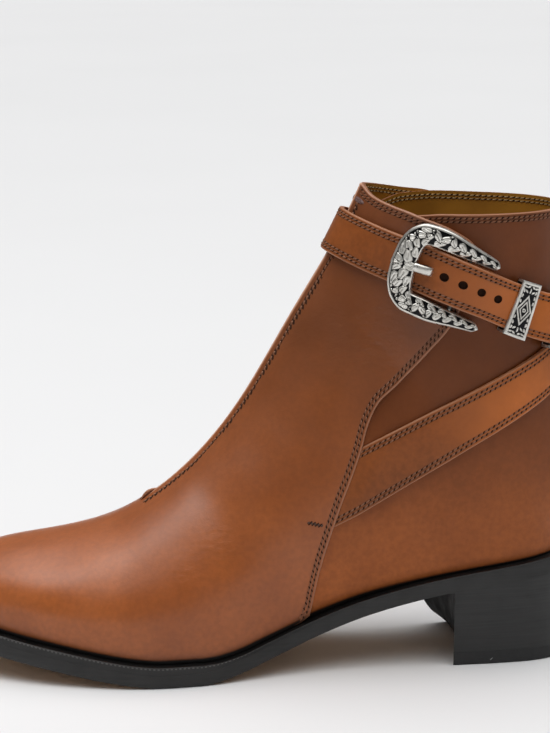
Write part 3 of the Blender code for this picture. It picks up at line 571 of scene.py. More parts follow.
# inset, depth below the top of the welt
WELT_HIGH = ((0.0, 1.0), (0.0, 0.88), (0.0, 0.4), (0.04, 0.3), (0.25, 0.1), (0.7, 0.0), (3.0, 0.0),
             (WELT_WIDTH, 0.0))
WHEEL_RINGS = slice(4, 6)
WHEEL_PITCH = 1.9
WHEEL_LEVEL = 0.3
WHEEL_STEEP = 2.5
WHEEL_FADE = (-12.0, 4.0)
INSOLE_SLOPE = 0.6
HEEL_LIFTS = 5
HEEL_JOINT = 0.02
HEEL_BACK = 179
LAYER_STEPS = (0.04, 0.12, 0.5, 0.88, 0.96, 1.0)
LAYER_NICK = 0.03
LAYER_HALF = 0.07
# inset, height above the floor
LIFT_PROFILE = ((0.7, 0.0), (0.2, 0.18), (0.0, 0.7), (0.0, 5.4), (0.0, 5.97), (0.3, 6.0))
# x, y, z, angle and half lengths of the pale scuff on the top lift
SCUFF = ((105.3, -36.0, 2.3), -40.0, (1.9, 6.0, 0.42))

# Colours that several materials share or that marks on a mesh bring out
# Painted shade of the crevice above the welt: dark brown, then black at the very foot
FOOT_SHADE_BROWN = (0.12, 0.03, 0.003)
FOOT_SHADE_BLACK = (0.004, 0.0035, 0.003)
# painted shade in the pressed stitch grooves and in the throat's slit
GROOVE_SHADE = (0.06, 0.022, 0.009)
CUT_EDGE = (0.4, 0.18, 0.095)
PIPING = (0.64, 0.355, 0.235)
WHEEL_MARK = (0.1, 0.094, 0.09)
# painted shade on the welt's top
WELT_TOP_SHADE = (0.0025, 0.0024, 0.0023)
SCUFF_PALE = (0.95, 0.95, 0.93)
SILVER_BRIGHT = (0.8, 0.78, 0.73)
SILVER_WORN = (0.62, 0.6, 0.55)
# black patina in the relief's hollows, also painted as shade on the bar and the keepers' walls
SILVER_PATINA_AND_SHADE = (0.012, 0.012, 0.013)
FLOOR_LIGHT = (0.76, 0.76, 0.765)
FLOOR_DARK = (0.75, 0.75, 0.755)
# places of the colour sockets of a mix node
MIX_FIRST = 6
MIX_SECOND = 7
MIX_RESULT = 2

# Studio, in metres
CAMERA_PLACE = (-0.0850, -1.0953, 0.375)
CAMERA_TILT = 77.5
CAMERA_TURN = -5.0
CAMERA_LENS = 124.26
CAMERA_SENSOR = 36.0
FLOOR_HALF = 12.0
SKY_FADE = (0.6, 1.0)
SKY_LIGHT = (0.14, 2.9)
KEY_POWER = 3.5
KEY_SIZE = 0.9
KEY_PLACE = (-0.6, -0.1, 1.5)
KEY_TARGET = (-0.05, 0.0, 0.05)


def cubic(table, column):
    """The natural cubic through one column of a table, over its first column."""
    xs = np.array([row[0] for row in table], float)
    ys = np.array([row[column] for row in table], float)
    count = len(xs)
    step = np.diff(xs)
    matrix = np.eye(count)
    right = np.zeros(count)
    for i in range(1, count - 1):
        matrix[i, i - 1] = step[i - 1]
        matrix[i, i] = 2 * (step[i - 1] + step[i])
        matrix[i, i + 1] = step[i]
        right[i] = 6 * ((ys[i + 1] - ys[i]) / step[i] - (ys[i] - ys[i - 1]) / step[i - 1])
    bend = np.linalg.solve(matrix, right)

    def at(x):
        x = np.clip(np.asarray(x, float), xs[0], xs[-1])
        i = np.clip(np.searchsorted(xs, x) - 1, 0, count - 2)
        a = (xs[i + 1] - x) / step[i]
        b = 1 - a
        curve = (a**3 - a) * bend[i] + (b**3 - b) * bend[i + 1]
        return a * ys[i] + b * ys[i + 1] + curve * step[i] ** 2 / 6

    return at


def monotone(table, column=1):
    """A cubic through one column of a table that never passes beyond its values."""
    xs = np.array([row[0] for row in table], float)
    ys = np.array([row[column] for row in table], float)
    step = np.diff(xs)
    secant = np.diff(ys) / step
    slope = np.zeros(len(xs))
    slope[0] = secant[0]
    slope[-1] = secant[-1]
    for i in range(1, len(xs) - 1):
        if secant[i - 1] * secant[i] > 0:
            slope[i] = 2 / (1 / secant[i - 1] + 1 / secant[i])

    def at(x):
        x = np.clip(np.asarray(x, float), xs[0], xs[-1])
        i = np.clip(np.searchsorted(xs, x) - 1, 0, len(xs) - 2)
        t = (x - xs[i]) / step[i]
        rise = ys[i] + t * step[i] * slope[i]
        bend = 3 * secant[i] - 2 * slope[i] - slope[i + 1]
        twist = slope[i] + slope[i + 1] - 2 * secant[i]
        return rise + step[i] * (bend * t**2 + twist * t**3)

    return at


def smooth_step(x, start, end):
    t = np.clip((x - start) / (end - start), 0, 1)
    return t * t * (3 - 2 * t)


def fade_out(x, start, end):
    return 1 - smooth_step(x, start, end)


def together(*values):
    """The values as arrays of one shape."""
    return np.broadcast_arrays(*(np.asarray(value, float) for value in values))


def unit(way):
    return way / np.linalg.norm(way, axis=-1, keepdims=True)


def distance(line):
    """Distance of every point of a line from its start."""
    return np.concatenate([[0], np.cumsum(np.linalg.norm(np.diff(line, axis=0), axis=1))])


def circle(count):
    return np.linspace(0, 2 * math.pi, count + 1)[:-1]


def cos_sin(angle):
    return math.cos(math.radians(angle)), math.sin(math.radians(angle))


tread = monotone(TREAD)
seat_inset = monotone(SEAT_INSET)


def middle(x):
    """The y of the middle line of the foot, which bends inwards at the toe."""
    return TOE_OFFSET * np.clip(-np.asarray(x, float) / SOLE_HALF, 0, 1) ** 2


def plan_width(side):
    """The half width of the sole over sin(angle), as a function of the angle from the heel."""
    rows = [(0.0, math.sqrt(SOLE_HEEL_RADIUS * SOLE_HALF))]
    for x, outer, inner in SOLE_PLAN:
        angle = math.acos(x / SOLE_HALF)
        half = outer if side == OUTER else inner
        rows.append((angle, (half - side * float(middle(x))) / math.sin(angle)))
    rows.append((math.pi, math.sqrt(SOLE_TOE_RADIUS * SOLE_HALF)))
    return cubic(rows, 1)


PLAN_WIDTH = {side: plan_width(side) for side in (OUTER, INNER)}


def plan(angle, side, inset=0.0):
    """Plan points of the sole's edge, moved inwards; angle 0 is the heel and pi the toe."""
    def edge(a):
        x = SOLE_HALF * np.cos(a)
        return np.stack([x, middle(x) + side * np.sin(a) * PLAN_WIDTH[side](a)], -1)

    angle = np.asarray(angle, float)
    along = unit(edge(np.minimum(angle + 1e-4, math.pi)) - edge(np.maximum(angle - 1e-4, 0)))
    inward = side * np.stack([-along[..., 1], along[..., 0]], -1)
    ends = (angle < 1e-6) | (angle > math.pi - 1e-6)
    inward[ends, 0] = -np.sign(np.cos(angle[ends]))
    inward[ends, 1] = 0
    return edge(angle) + inward * np.asarray(inset, float)[..., None]


def sole_point(flat, lift):
    """A plan point put on the tread and lifted along the normal of the tread."""
    x = flat[..., 0]
    slope = tread(x + 0.5) - tread(x - 0.5)
    long = np.sqrt(1 + slope**2)
    return np.stack([x - lift * slope / long, flat[..., 1], tread(x) + lift / long], -1)


def seat_edges():
    """For both sides, x and y of the line where the upper stands on the welt."""
    angles = np.linspace(0, math.pi, 1601)
    edges = {}
    for side in (OUTER, INNER):
        points = plan(angles, side, seat_inset(SOLE_HALF * np.cos(angles)))
        order = np.argsort(points[:, 0])
        edges[side] = points[order]
    return edges


SEAT_EDGES = seat_edges()
FAN_ROWS = [(float(i), *row) for i, row in enumerate(FAN)]
FAN_CURVES = [cubic(FAN_ROWS, column + 1) for column in range(7)]
LAST_ROW = len(FAN) - 1.0
back_line = cubic(BACK, 1)


def seat_width(seat, side):
    """Half width of the foot line at a seat station, from the middle line; 0 on the back."""
    edge = SEAT_EDGES[side]
    width = side * (np.interp(seat, edge[:, 0], edge[:, 1]) - middle(seat))
    return np.where(seat > HEEL_SEAT - 1e-6, 0, np.maximum(width, 0))


def widest_curve(side):
    """Largest half width of every section: the foot line and the swell above it together."""
    rows = []
    for i, row in enumerate(FAN):
        swell = row[3] if side == OUTER else row[4]
        rows.append((float(i), math.hypot(float(seat_width(np.array(row[2]), side)), swell)))
    return cubic(rows, 1)


WIDEST = {side: widest_curve(side) for side in (OUTER, INNER)}


class Section:
    """The sections of the fan at the rows u, for one side."""

    def __init__(self, u, side):
        ridge_x, ridge_z, seat, _, _, belly, crest = (curve(u) for curve in FAN_CURVES)
        on_sole = np.minimum(seat, HEEL_SEAT)
        height = np.maximum(seat - HEEL_SEAT, 0)
        foot = sole_point(np.stack([on_sole, np.zeros_like(on_sole)], -1), SEAT_LIFT)
        heel = sole_point(np.array([[HEEL_SEAT, 0.0]]), SEAT_LIFT)[0]
        self.top = np.stack([ridge_x, ridge_z], -1)
        self.seat = np.where(
            (height > 0)[..., None],
            np.stack([back_line(height) - BACK[0][1] + heel[0], heel[2] + height], -1),
            foot[..., ::2],
        )
        self.middle = middle(on_sole)
        edge = seat_width(seat, side)
        self.widest = np.maximum(WIDEST[side](u), edge * 1.004 + 1e-3)
        self.belly = belly
        self.crest = crest
        self.low = -np.arccos(np.clip(edge / self.widest, 0, 1))
        self.side = side

    def points(self, q):
        turn = self.low + q * (math.pi / 2 - self.low)
        lower = self.belly * (1 + np.sin(np.minimum(turn, 0)) / np.maximum(np.sin(-self.low), 1e-9))
        upper = self.belly + (1 - self.belly) * np.sin(turn)
        h = np.where(turn < 0, lower, upper)
        round_ = np.maximum(np.cos(turn), 0)
        half = self.widest * np.where(turn < 0, round_, round_**self.crest)
        flat = self.seat + (self.top - self.seat) * h[..., None]
        return np.stack([flat[..., 0], self.middle + self.side * half, flat[..., 1]], -1)

    def place(self, h):
        """The q of a height h, from 0 at the seat to 1 at the ridge."""
        lower = (h - self.belly) / self.belly * np.sin(-self.low)
        upper = (h - self.belly) / (1 - self.belly)
        turn = np.arcsin(np.clip(np.where(h < self.belly, lower, upper), -1, 1))
        return np.clip((turn - self.low) / (math.pi / 2 - self.low), 0, 1)


def last_point(u, q, side, lift=0.0):
    """Points of the upper's surface, lifted along its normal."""
    u, q, lift = together(u, q, lift)
    point = Section(u, side).points(q)
    if not np.any(lift):
        return point
    near = np.clip(u, 0.06, LAST_ROW - 0.01)
    du = Section(near + 0.01, side).points(q) - Section(near - 0.01, side).points(q)
    here = Section(near, side)
    dq = here.points(np.minimum(q + 0.003, 1)) - here.points(np.maximum(q - 0.003, 0))
    normal = unit(-side * np.cross(du, dq))
    seat = FAN_CURVES[SEAT](u)
    on_back = (q < 1e-4) & (seat > HEEL_SEAT - 1e-6)
    normal[..., 1] *= np.where((q > 0.9999) | on_back, 0.0, 1.0)
    slope = tread(seat + 0.5) - tread(seat - 0.5)
    up = unit(np.stack([-slope, np.zeros_like(slope), np.ones_like(slope)], -1))
    share = np.where(seat < HEEL_SEAT + 0.5, np.clip(1 - q / 0.1, 0, 1), 0)
    normal = unit(normal - (share * np.sum(normal * up, -1))[..., None] * up)
    tip = u < 1e-6
    normal[tip] = np.stack([-up[..., 2], 0 * slope, up[..., 0]], -1)[tip]
    return point + normal * lift[..., None]


def climb(q, side, test, start, steps=400):
    """The highest row where test(points) turns from below zero to above it, for every q."""
    q = np.asarray(q, float)
    rows = np.linspace(start, LAST_ROW, steps)
    value = test(last_point(rows[:, None], q.ravel()[None, :], side))
    below = value[:-1] <= 0
    crossing = below & (value[1:] > 0)
    last = steps - 2 - np.argmax(crossing[::-1], axis=0)
    column = np.arange(value.shape[1])
    low = value[last, column]
    high = value[last + 1, column]
    share = np.clip(low / np.where(low == high, 1, low - high), 0, 1)
    return (rows[last] + share * (rows[1] - rows[0])).reshape(q.shape)


def fan_place(flat, side):
    """Row and q of side-view points (x, z) that lie within the outline of the upper."""
    rows = np.linspace(0, LAST_ROW, 900)
    fan = Section(rows, side)
    lean = fan.top - fan.seat
    gap = flat[..., None, :] - fan.seat
    ahead = lean[:, 0] * gap[..., 1] - lean[:, 1] * gap[..., 0]
    last = len(rows) - 2 - np.argmax((ahead[..., :-1] < 0)[..., ::-1], axis=-1)
    low = np.take_along_axis(ahead, last[..., None], -1)[..., 0]
    high = np.take_along_axis(ahead, last[..., None] + 1, -1)[..., 0]
    share = np.clip(low / np.where(low == high, 1, low - high), 0, 1)
    u = rows[last] + share * (rows[1] - rows[0])
    section = Section(u, side)
    lean = section.top - section.seat
    h = np.sum((flat - section.seat) * lean, -1) / np.sum(lean * lean, -1)
    return u, section.place(np.clip(h, 0, 1))


def back_x(z):
    heel = sole_point(np.array([HEEL_SEAT, 0.0]), SEAT_LIFT)
    return back_line(z - heel[2]) - BACK[0][1] + heel[0]


def ridge_x(z):
    rows = np.linspace(7.0, LAST_ROW, 600)
    return np.interp(z, FAN_CURVES[RIDGE_Z](rows), FAN_CURVES[RIDGE_X](rows))


def seat_row(stations):
    rows = np.linspace(0, LAST_ROW, 4001)
    return np.interp(stations, FAN_CURVES[SEAT](rows), rows)


class StrapPath:
    """A band round the ankle. A turn of 0 is the front and 1 the back, with the outer side between
    them. The band keeps to UPPER_LINE before the turn `cross` and to LOWER_LINE after it, where
    `way` is the sign of the turns that come after it; at the turn 1 every band bends down with the
    buckle strap. Places along it are counted from the bar."""

    def __init__(self, cross, way, first, last):
        self.cross = cross
        self.way = way
        self.turns = np.linspace(first, last, 1200)
        line = self.at_turn(self.turns, 0.0, 0.0)
        along = distance(line)
        outer = (self.turns > 0) & (self.turns < 0.95)
        self.along = along - np.interp(BAR_X, line[outer, 0], along[outer])

    def at_turn(self, turn, across, lift):
        turn, across, lift = together(turn, across, lift)
        phase = np.mod(turn, 2)
        q = np.abs(1 - phase)
        after = smooth_step((turn - self.cross) * self.way, -CROSS_HALF, CROSS_HALF)
        after = np.maximum(after, smooth_step(turn - 1.0, -CROSS_HALF, CROSS_HALF))
        wide = smooth_step(q, 0.0, 0.3)
        height = np.zeros(turn.shape)
        slope = np.zeros(turn.shape)
        for share, (x, z, tilt) in ((1 - after, UPPER_LINE), (after, LOWER_LINE)):
            stretch = 1 + (math.hypot(1, tilt) - 1) * wide
            height = height + share * (z - tilt * x + across * stretch)
            slope = slope + share * tilt
        back = np.full(turn.shape, BACK_GUESS)
        front = np.full(turn.shape, FRONT_GUESS)
        for _ in range(12):
            back = back_x(height + slope * back)
            front = ridge_x(height + slope * front)
        front = np.where(after > 0.5, LOWER_FRONT, front)
        x = front + (back - front) * (1 + np.cos(math.pi * q)) / 2
        bow_x, bow_long, bow_high = UPPER_BOW
        bow = bow_high * np.exp(-(((x - bow_x) / bow_long) ** 2))
        bow *= (1 - after) * smooth_step(q, 0.02, 0.2) * smooth_step(1 - q, 0.02, 0.2) * (phase < 1)
        flat = np.stack([x, height + slope * x + bow], -1)
        points = np.empty(turn.shape + (3,))
        for side, mine in ((OUTER, phase < 1), (INNER, phase >= 1)):
            if mine.any():
                row, place = fan_place(flat[mine], side)
                place = np.where(q[mine] < 1e-6, 0, np.where(q[mine] > 1 - 1e-6, 1, place))
                points[mine] = last_point(row, place, side, lift[mine])
        return points

    def turn(self, along):
        return np.interp(along, self.along, self.turns)

    def at(self, along, across, lift):
        """A place along the band, square across it and lifted from the upper."""
        along, across, lift = together(along, across, lift)
        turn = self.turn(along)
        centre = self.at_turn(turn, 0.0, lift)
        ahead = self.at_turn(turn + 0.01, 0.0, lift) - self.at_turn(turn - 0.01, 0.0, lift)
        speed = np.linalg.norm(ahead, axis=-1)
        for _ in range(2):
            skew = np.sum((self.at_turn(turn, across, lift) - centre) * ahead, -1) / speed
            turn = turn - 0.02 * skew / speed
        return self.at_turn(turn, across, lift)


COLLAR_LINE = {OUTER: monotone(OUTER_COLLAR), INNER: monotone(INNER_COLLAR)}
TOP_LINE = {OUTER: monotone(OUTER_TOP), INNER: monotone(INNER_TOP)}
flap_rear_line = monotone(FLAP_REAR)
seat_sink = monotone(SEAT_SINK)


def flap_edge(u, side, steps=500):
    """The q of the flap's rear edge in every row; 0 where the row stays in front of it."""
    h = np.linspace(0, 1, steps)
    section = Section(u, side)
    line = section.seat[:, None] + (section.top - section.seat)[:, None] * h[None, :, None]
    over = line[..., 0] - flap_rear_line(line[..., 1])
    last = np.minimum(steps - 1 - np.argmax((over > 0)[:, ::-1], axis=1), steps - 2)
    row = np.arange(len(last))
    share = np.clip(over[row, last] / np.maximum(over[row, last] - over[row, last + 1], TINY), 0, 1)
    place = np.where((over > 0).any(1), h[last] + share * (h[1] - h[0]), 0)
    return section.place(place)


def flap_top(columns, side, steps=700):
    """The row of the flap's upper edge for every column between its rear edge and the ridge."""
    rows = np.linspace(INSTEP_ROW, LAST_ROW, steps)
    edge = flap_edge(rows, side)
    points = last_point(rows[:, None], edge[:, None] + columns[None, :] * (1 - edge[:, None]), side)
    over = points[..., 2] - TOP_LINE[side](points[..., 0])
    first = np.maximum(np.argmax(over > 0, axis=0), 1)
    column = np.arange(len(columns))
    low, high = over[first - 1, column], over[first, column]
    return rows[first - 1] + np.clip(-low / (high - low), 0, 1) * (rows[1] - rows[0])


def spaced(line, step):
    """A line's points again, evenly spaced."""
    far = distance(line)
    places = np.linspace(0, far[-1], max(2, int(far[-1] / step) + 1))
    return np.stack([np.interp(places, far, line[:, k]) for k in range(line.shape[1])], -1)


def nearest(points, line):
    """Distance of every point from a line of points, and the share of the line that lies before it."""
    gap = np.full(points.shape[:-1], 1e9)
    share = np.zeros(gap.shape)
    for k, (start, end) in enumerate(zip(line[:-1], line[1:])):
        way = end - start
        t = np.clip((points - start) @ way / max(way @ way, 1e-12), 0, 1)
        away = np.linalg.norm(points - start - t[..., None] * way, axis=-1)
        share = np.where(away < gap, (k + t) / (len(line) - 1), share)
        gap = np.minimum(gap, away)
    return gap, share


def gap_to(points, line):
    return nearest(points, line)[0]


def side_view(u, q, side):
    """The x and z of places on the upper."""
    return Section(u, side).points(q)[..., ::2]


def crease_lift(u, q, side):
    """Height of the listed creases, which fade out at the ridge and at the sole."""
    flat = side_view(u, q, side)
    lift = np.zeros(q.shape)
    for half, height, where, points in CREASES:
        if where == side:
            gap, share = nearest(flat, spaced(np.array(points), CREASE_STEP))
            taper = smooth_step(share, 0.0, CREASE_TAPER) * smooth_step(1 - share, 0.0, CREASE_TAPER)
            lift += height * np.exp(-((gap / half) ** 2)) * (CREASE_END + (1 - CREASE_END) * taper)
    ridge, foot = CREASE_FADE
    return lift * smooth_step(1 - q, 0.0, ridge) * smooth_step(q, 0.0, foot)


def wrinkled(u, q, side):
    """Share of fine wrinkles at every place."""
    flat = side_view(u, q, side)
    share = np.zeros(q.shape)
    for x, z, radius, where in WRINKLES:
        if where == side:
            away = np.hypot(flat[..., 0] - x, flat[..., 1] - z)
            share = np.maximum(share, np.exp(-((away / radius) ** 2)))
    return share


def foot_shade(u, q, side):
    """Painted shade of the crevice just above the welt: dark brown, black at the very foot."""
    section = Section(u, side)
    low = section.points(np.zeros(q.shape))
    gap = np.linalg.norm(section.points(q) - low, axis=-1)
    stand = FAN_CURVES[SEAT](u) < HEEL_SEAT + 1.0
    toe, heel = FOOT_SHADE_WIDE
    wide = toe - (toe - heel) * smooth_step(low[..., 0], *FOOT_SHADE_FADE)
    return np.where(stand, np.exp(-((gap / wide) ** 2)), 0.0)


def surface(u, q, side, lift=0.0):
    """Points of the creased upper at a lift above it."""
    u, q, lift = together(u, q, lift)
    points = last_point(u, q, side, lift + crease_lift(u, q, side) + 1e-6)
    height = points[..., 2] - tread(points[..., 0]) - SEAT_LIFT
    points[..., 2] -= seat_sink(points[..., 0]) * fade_out(height, 0.0, SINK_REACH)
    return points


class Band:
    """A strap's path sampled once, so that many places on it are found quickly."""

    def __init__(self, path, first, last, reach, span=6.0):
        self.first = first
        self.places = np.arange(first, last + 1.0, 1.0)
        self.knots = np.linspace(-reach, reach, 7)
        self.base = path.at(self.places[:, None], self.knots[None, :], 0.0)
        self.rise = (path.at(self.places[:, None], self.knots[None, :], span) - self.base) / span

    def at(self, along, across, lift):
        along, across, lift = together(along, across, lift)
        spot = np.clip(along - self.first, 1.0, len(self.places) - 2.001)
        i = np.floor(spot).astype(int)
        t = spot - i
        ways = ((-t + 2 * t**2 - t**3) / 2, (2 - 5 * t**2 + 3 * t**3) / 2,
                (t + 4 * t**2 - 3 * t**3) / 2, (t**3 - t**2) / 2)
        base = np.zeros(along.shape + (3,))
        rise = np.zeros(along.shape + (3,))
        for k, knot in enumerate(self.knots):
            weight = np.ones(along.shape)
            for other in np.delete(self.knots, k):
                weight = weight * (across - other) / (knot - other)
            for step, way in enumerate(ways):
                share = (weight * way)[..., None]
                base += share * self.base[i + step - 1, k]
                rise += share * self.rise[i + step - 1, k]
        return base + rise * lift[..., None]


def rolled(gap, radius):
    """How far a rounded edge drops at a distance from the cut."""
    into = np.clip(1 - gap / radius, 0, 1)
    return radius * (1 - np.sqrt(1 - into**2))


def pressed(gap, row):
    """Depth share of the groove that one stitch row presses into the leather."""
    return np.exp(-(((gap - row) / GROOVE_HALF) ** 2))


def sewn(gap):
    return sum(pressed(gap, row) for row in STITCH_ROWS)


def lattice(rows, columns, loop=False):
    """Four-cornered faces between the points of a grid."""
    index = np.arange(rows * columns).reshape(rows, columns)
    if loop:
        index = np.concatenate([index, index[:, :1]], axis=1)
    quads = np.stack([index[:-1, :-1], index[:-1, 1:], index[1:, 1:], index[1:, :-1]], -1)
    return quads.reshape(-1, 4)


def spokes(count):
    """Triangles from a ring of points to the point after them."""
    return [(i, (i + 1) % count, count) for i in range(count)]


class Piece:
    """Points, faces and marks of one piece, gathered before its mesh is made."""

    # the third mark is painted shade: above the welt, at the foot and on a welt's top
    MARKS = ("cut", "groove", "tone", "relief")
    SIDES = {"left": np.s_[:, 0], "right": np.s_[:, -1], "start": np.s_[0], "end": np.s_[-1]}

    def __init__(self):
        self.points = []
        self.faces = []
        self.looks = []
        self.marks = {name: [] for name in self.MARKS}
        self.count = 0

    def add(self, points, faces, look=0, **marks):
        shape = points.shape[:-1]
        self.points.append(points.reshape(-1, 3))
        for name in self.MARKS:
            self.marks[name].append(np.broadcast_to(marks.get(name, 0.0), shape).ravel())
        self.faces.extend((np.asarray(faces) + self.count).tolist())
        self.looks.extend([look] * len(faces))
        self.count += int(np.prod(shape))

    def grid(self, points, look=0, loop=False, **marks):
        self.add(points, lattice(*points.shape[:2], loop), look, **marks)

    def strip(self, first, second, look=0, **marks):
        self.grid(np.stack([first, second]), look, **marks)

    def rim(self, over, under, sides, **marks):
        """Strips that close a sheet along the named sides of its two grids."""
        for side in sides.split():
            self.strip(over[self.SIDES[side]], under[self.SIDES[side]], **marks)

    def cap(self, ring, look=0, **marks):
        self.add(np.concatenate([ring, ring.mean(0, keepdims=True)]), spokes(len(ring)), look, **marks)

    def tube(self, rings, look=0, **marks):
        """A closed skin over closed rings, with both ends capped."""
        self.grid(rings, look, loop=True, **marks)
        self.cap(rings[0], look)
        self.cap(rings[-1], look)

    def mesh(self, name, merge):
        mesh = bpy.data.meshes.new(name)
        mesh.from_pydata((np.concatenate(self.points) * MM).tolist(), [], self.faces)
        mesh.polygons.foreach_set("material_index", self.looks)
        for mark, values in self.marks.items():
            values = np.concatenate(values)
            if np.any(values):
                mesh.attributes.new(mark, "FLOAT", "POINT").data.foreach_set("value", values)
        body = bmesh.new()
        body.from_mesh(mesh)
        if merge:
            bmesh.ops.remove_doubles(body, verts=body.verts, dist=merge * MM)
        bmesh.ops.recalc_face_normals(body, faces=body.faces)
        body.to_mesh(mesh)
        body.free()
        return mesh

    def make(self, name, looks, replaced=(), merge=MERGE, sharp=SHARP_ANGLE):
        mesh = self.mesh(name, merge)
        for look in looks:
            mesh.materials.append(look)
        mesh.polygons.foreach_set("use_smooth", [True] * len(mesh.polygons))
        mesh.set_sharp_from_angle(angle=math.radians(sharp))
        body = bpy.data.objects.new(name, mesh)
        bpy.context.scene.collection.objects.link(body)
        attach(body, "root")
        if replaced:
            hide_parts(*replaced)
        return body

    def make_thread(self, name, thread):
        """Loose stitches and holes, whose points are not merged."""
        self.make(name, [thread, HOLE_SHADE], merge=0.0, sharp=THREAD_ANGLE)


def stitch_shape(long, wide):
    """One stitch: a short thread that rises out of the leather and dips back into it."""
    turn = circle(STITCH_SIDES)
    rings = []
    for share, thick in STITCH_RINGS:
        rise = STITCH_RISE * (1 - 4 * share**2) - STITCH_SINK
        half = wide / 2 * thick
        rings.append(np.stack([np.full(STITCH_SIDES, share * long), half * np.cos(turn),
                               rise + STITCH_FLAT * half * np.sin(turn)], -1))
    return np.stack(rings)


def sew(piece, line, up, pitch=STITCH_PITCH, wide=STITCH_WIDE, slant=STITCH_SLANT, hole=STITCH_HOLE):
    """A row of stitches along a line on a surface, with a dark slanted hole at the end of each: a flat disc
    painted as the hole's shade.
    """
    both = spaced(np.concatenate([line, up], axis=1), SEW_STEP)
    far = distance(both[:, :3])
    count = int(far[-1] / pitch)
    if count < 1:
        return
    step = far[-1] / count

    def at(places, columns):
        return np.stack([np.interp(places, far, both[:, i]) for i in columns], -1)

    def put(places, shape, faces, angle, look):
        spot = at(places, range(3))
        high = unit(at(places, range(3, 6)))
        ahead = at(places + SEW_REACH, range(3)) - at(places - SEW_REACH, range(3))
        ahead = unit(ahead - high * np.sum(ahead * high, -1, keepdims=True))
        side = np.cross(high, ahead)
        spot, ahead, side, high = (v[:, None] for v in (spot, ahead, side, high))
        cos, sin = cos_sin(angle)
        x, y, z = (shape.reshape(-1, 3)[None, :, k, None] for k in range(3))
        points = spot + (x * cos - y * sin) * ahead + (x * sin + y * cos) * side + z * high
        index = np.asarray(faces)[None] + points.shape[1] * np.arange(len(places))[:, None, None]
        piece.add(points, index.reshape(-1, index.shape[-1]), look)

    shape = stitch_shape(STITCH_LONG * step, wide)
    put((np.arange(count) + 0.5) * step, shape, lattice(*shape.shape[:2], loop=True), slant, 0)
    # each hole is a flat disc in the dark material: painted shade
    long, half, angle = hole
    turn = circle(HOLE_SIDES)
    rim, heart = HOLE_LIFT
    ring = np.stack([long * np.cos(turn), half * np.sin(turn), np.full(HOLE_SIDES, rim)], -1)
    disc = np.concatenate([ring, [(0.0, 0.0, heart)]])
    put(np.arange(1, count) * step, disc, spokes(HOLE_SIDES), angle, 1)


class Look:
    """A material with short calls for its nodes."""

    def __init__(self, name, rough, metal=0.0, coat=0.0, coat_rough=0.3, specular=0.5):
        self.material = bpy.data.materials.new(name)
        self.material.use_nodes = True
        self.tree = self.material.node_tree
        self.shader = self.tree.nodes["Principled BSDF"]
        self.feed(self.shader, {
            "Roughness": rough,
            "Metallic": metal,
            "Coat Weight": coat,
            "Coat Roughness": coat_rough,
            "Specular IOR Level": specular,
        })

    def feed(self, node, inputs):
        """Sets the inputs of a node, or links those that are given as another node's output."""
        for socket, value in inputs.items():
            if isinstance(value, bpy.types.NodeSocket):
                self.tree.links.new(value, node.inputs[socket])
            else:
                node.inputs[socket].default_value = value

    def node(self, kind, inputs, **settings):
        node = self.tree.nodes.new(kind)
        for key, value in settings.items():
            setattr(node, key, value)
        self.feed(node, inputs)
        return node

    def mark(self, name):
        return self.node("ShaderNodeAttribute", {}, attribute_name=name).outputs["Fac"]

    def place(self):
        return self.node("ShaderNodeTexCoord", {}).outputs["Object"]

    def noise(self, scale, detail=3.0, stretch=(1, 1, 1), turn=(0, 0, 0)):
        place = self.node("ShaderNodeMapping", {"Vector": self.place(), "Scale": stretch, "Rotation": turn})
        inputs = {"Vector": place.outputs["Vector"], "Scale": scale, "Detail": detail}
        return self.node("ShaderNodeTexNoise", inputs).outputs["Fac"]

    def cells(self, scale):
        inputs = {"Vector": self.place(), "Scale": scale}
        return self.node("ShaderNodeTexVoronoi", inputs, feature="DISTANCE_TO_EDGE").outputs["Distance"]

    def spot(self, centre, angle, size):
        """1 inside a small ellipsoid in millimetres, turned about the Y axis, and 0 outside it."""
        place = self.node("ShaderNodeMapping", {
            "Vector": self.place(),
            "Location": [v * MM for v in centre],
            "Rotation": (0.0, math.radians(angle), 0.0),
            "Scale": [v * MM for v in size],
        }, vector_type="TEXTURE")
        far = self.node("ShaderNodeVectorMath", {0: place.outputs["Vector"]}, operation="LENGTH")
        return self.span(far.outputs["Value"], 0.6, 1.0, 1.0, 0.0)

    def span(self, value, from_low, from_high, to_low=0.0, to_high=1.0):
        ends = {"From Min": from_low, "From Max": from_high, "To Min": to_low, "To Max": to_high}
        inputs = {"Value": value, **ends}
        return self.node("ShaderNodeMapRange", inputs).outputs["Result"]

    def mix(self, share, first, second):
        """A blend of two colours, each a tuple or another node's output."""
        colours = [(*value, 1.0) if isinstance(value, tuple) else value for value in (first, second)]
        inputs = {"Factor": share, MIX_FIRST: colours[0], MIX_SECOND: colours[1]}
        return self.node("ShaderNodeMix", inputs, data_type="RGBA").outputs[MIX_RESULT]

    def bump(self, height, distance, strength, before=None):
        inputs = {"Height": height, "Distance": distance, "Strength": strength}
        if before:
            inputs["Normal"] = before
        return self.node("ShaderNodeBump", inputs).outputs["Normal"]

    def done(self, **outputs):
        """Links what is given to the shader: colour, rough and normal."""
        sockets = {"colour": ("Base Color",), "rough": ("Roughness",), "normal": ("Normal", "Coat Normal")}
        for name, value in outputs.items():
            self.feed(self.shader, {socket: value for socket in sockets[name]})
        return self.material


def shade(colour, share):
    return tuple(v * share for v in colour)


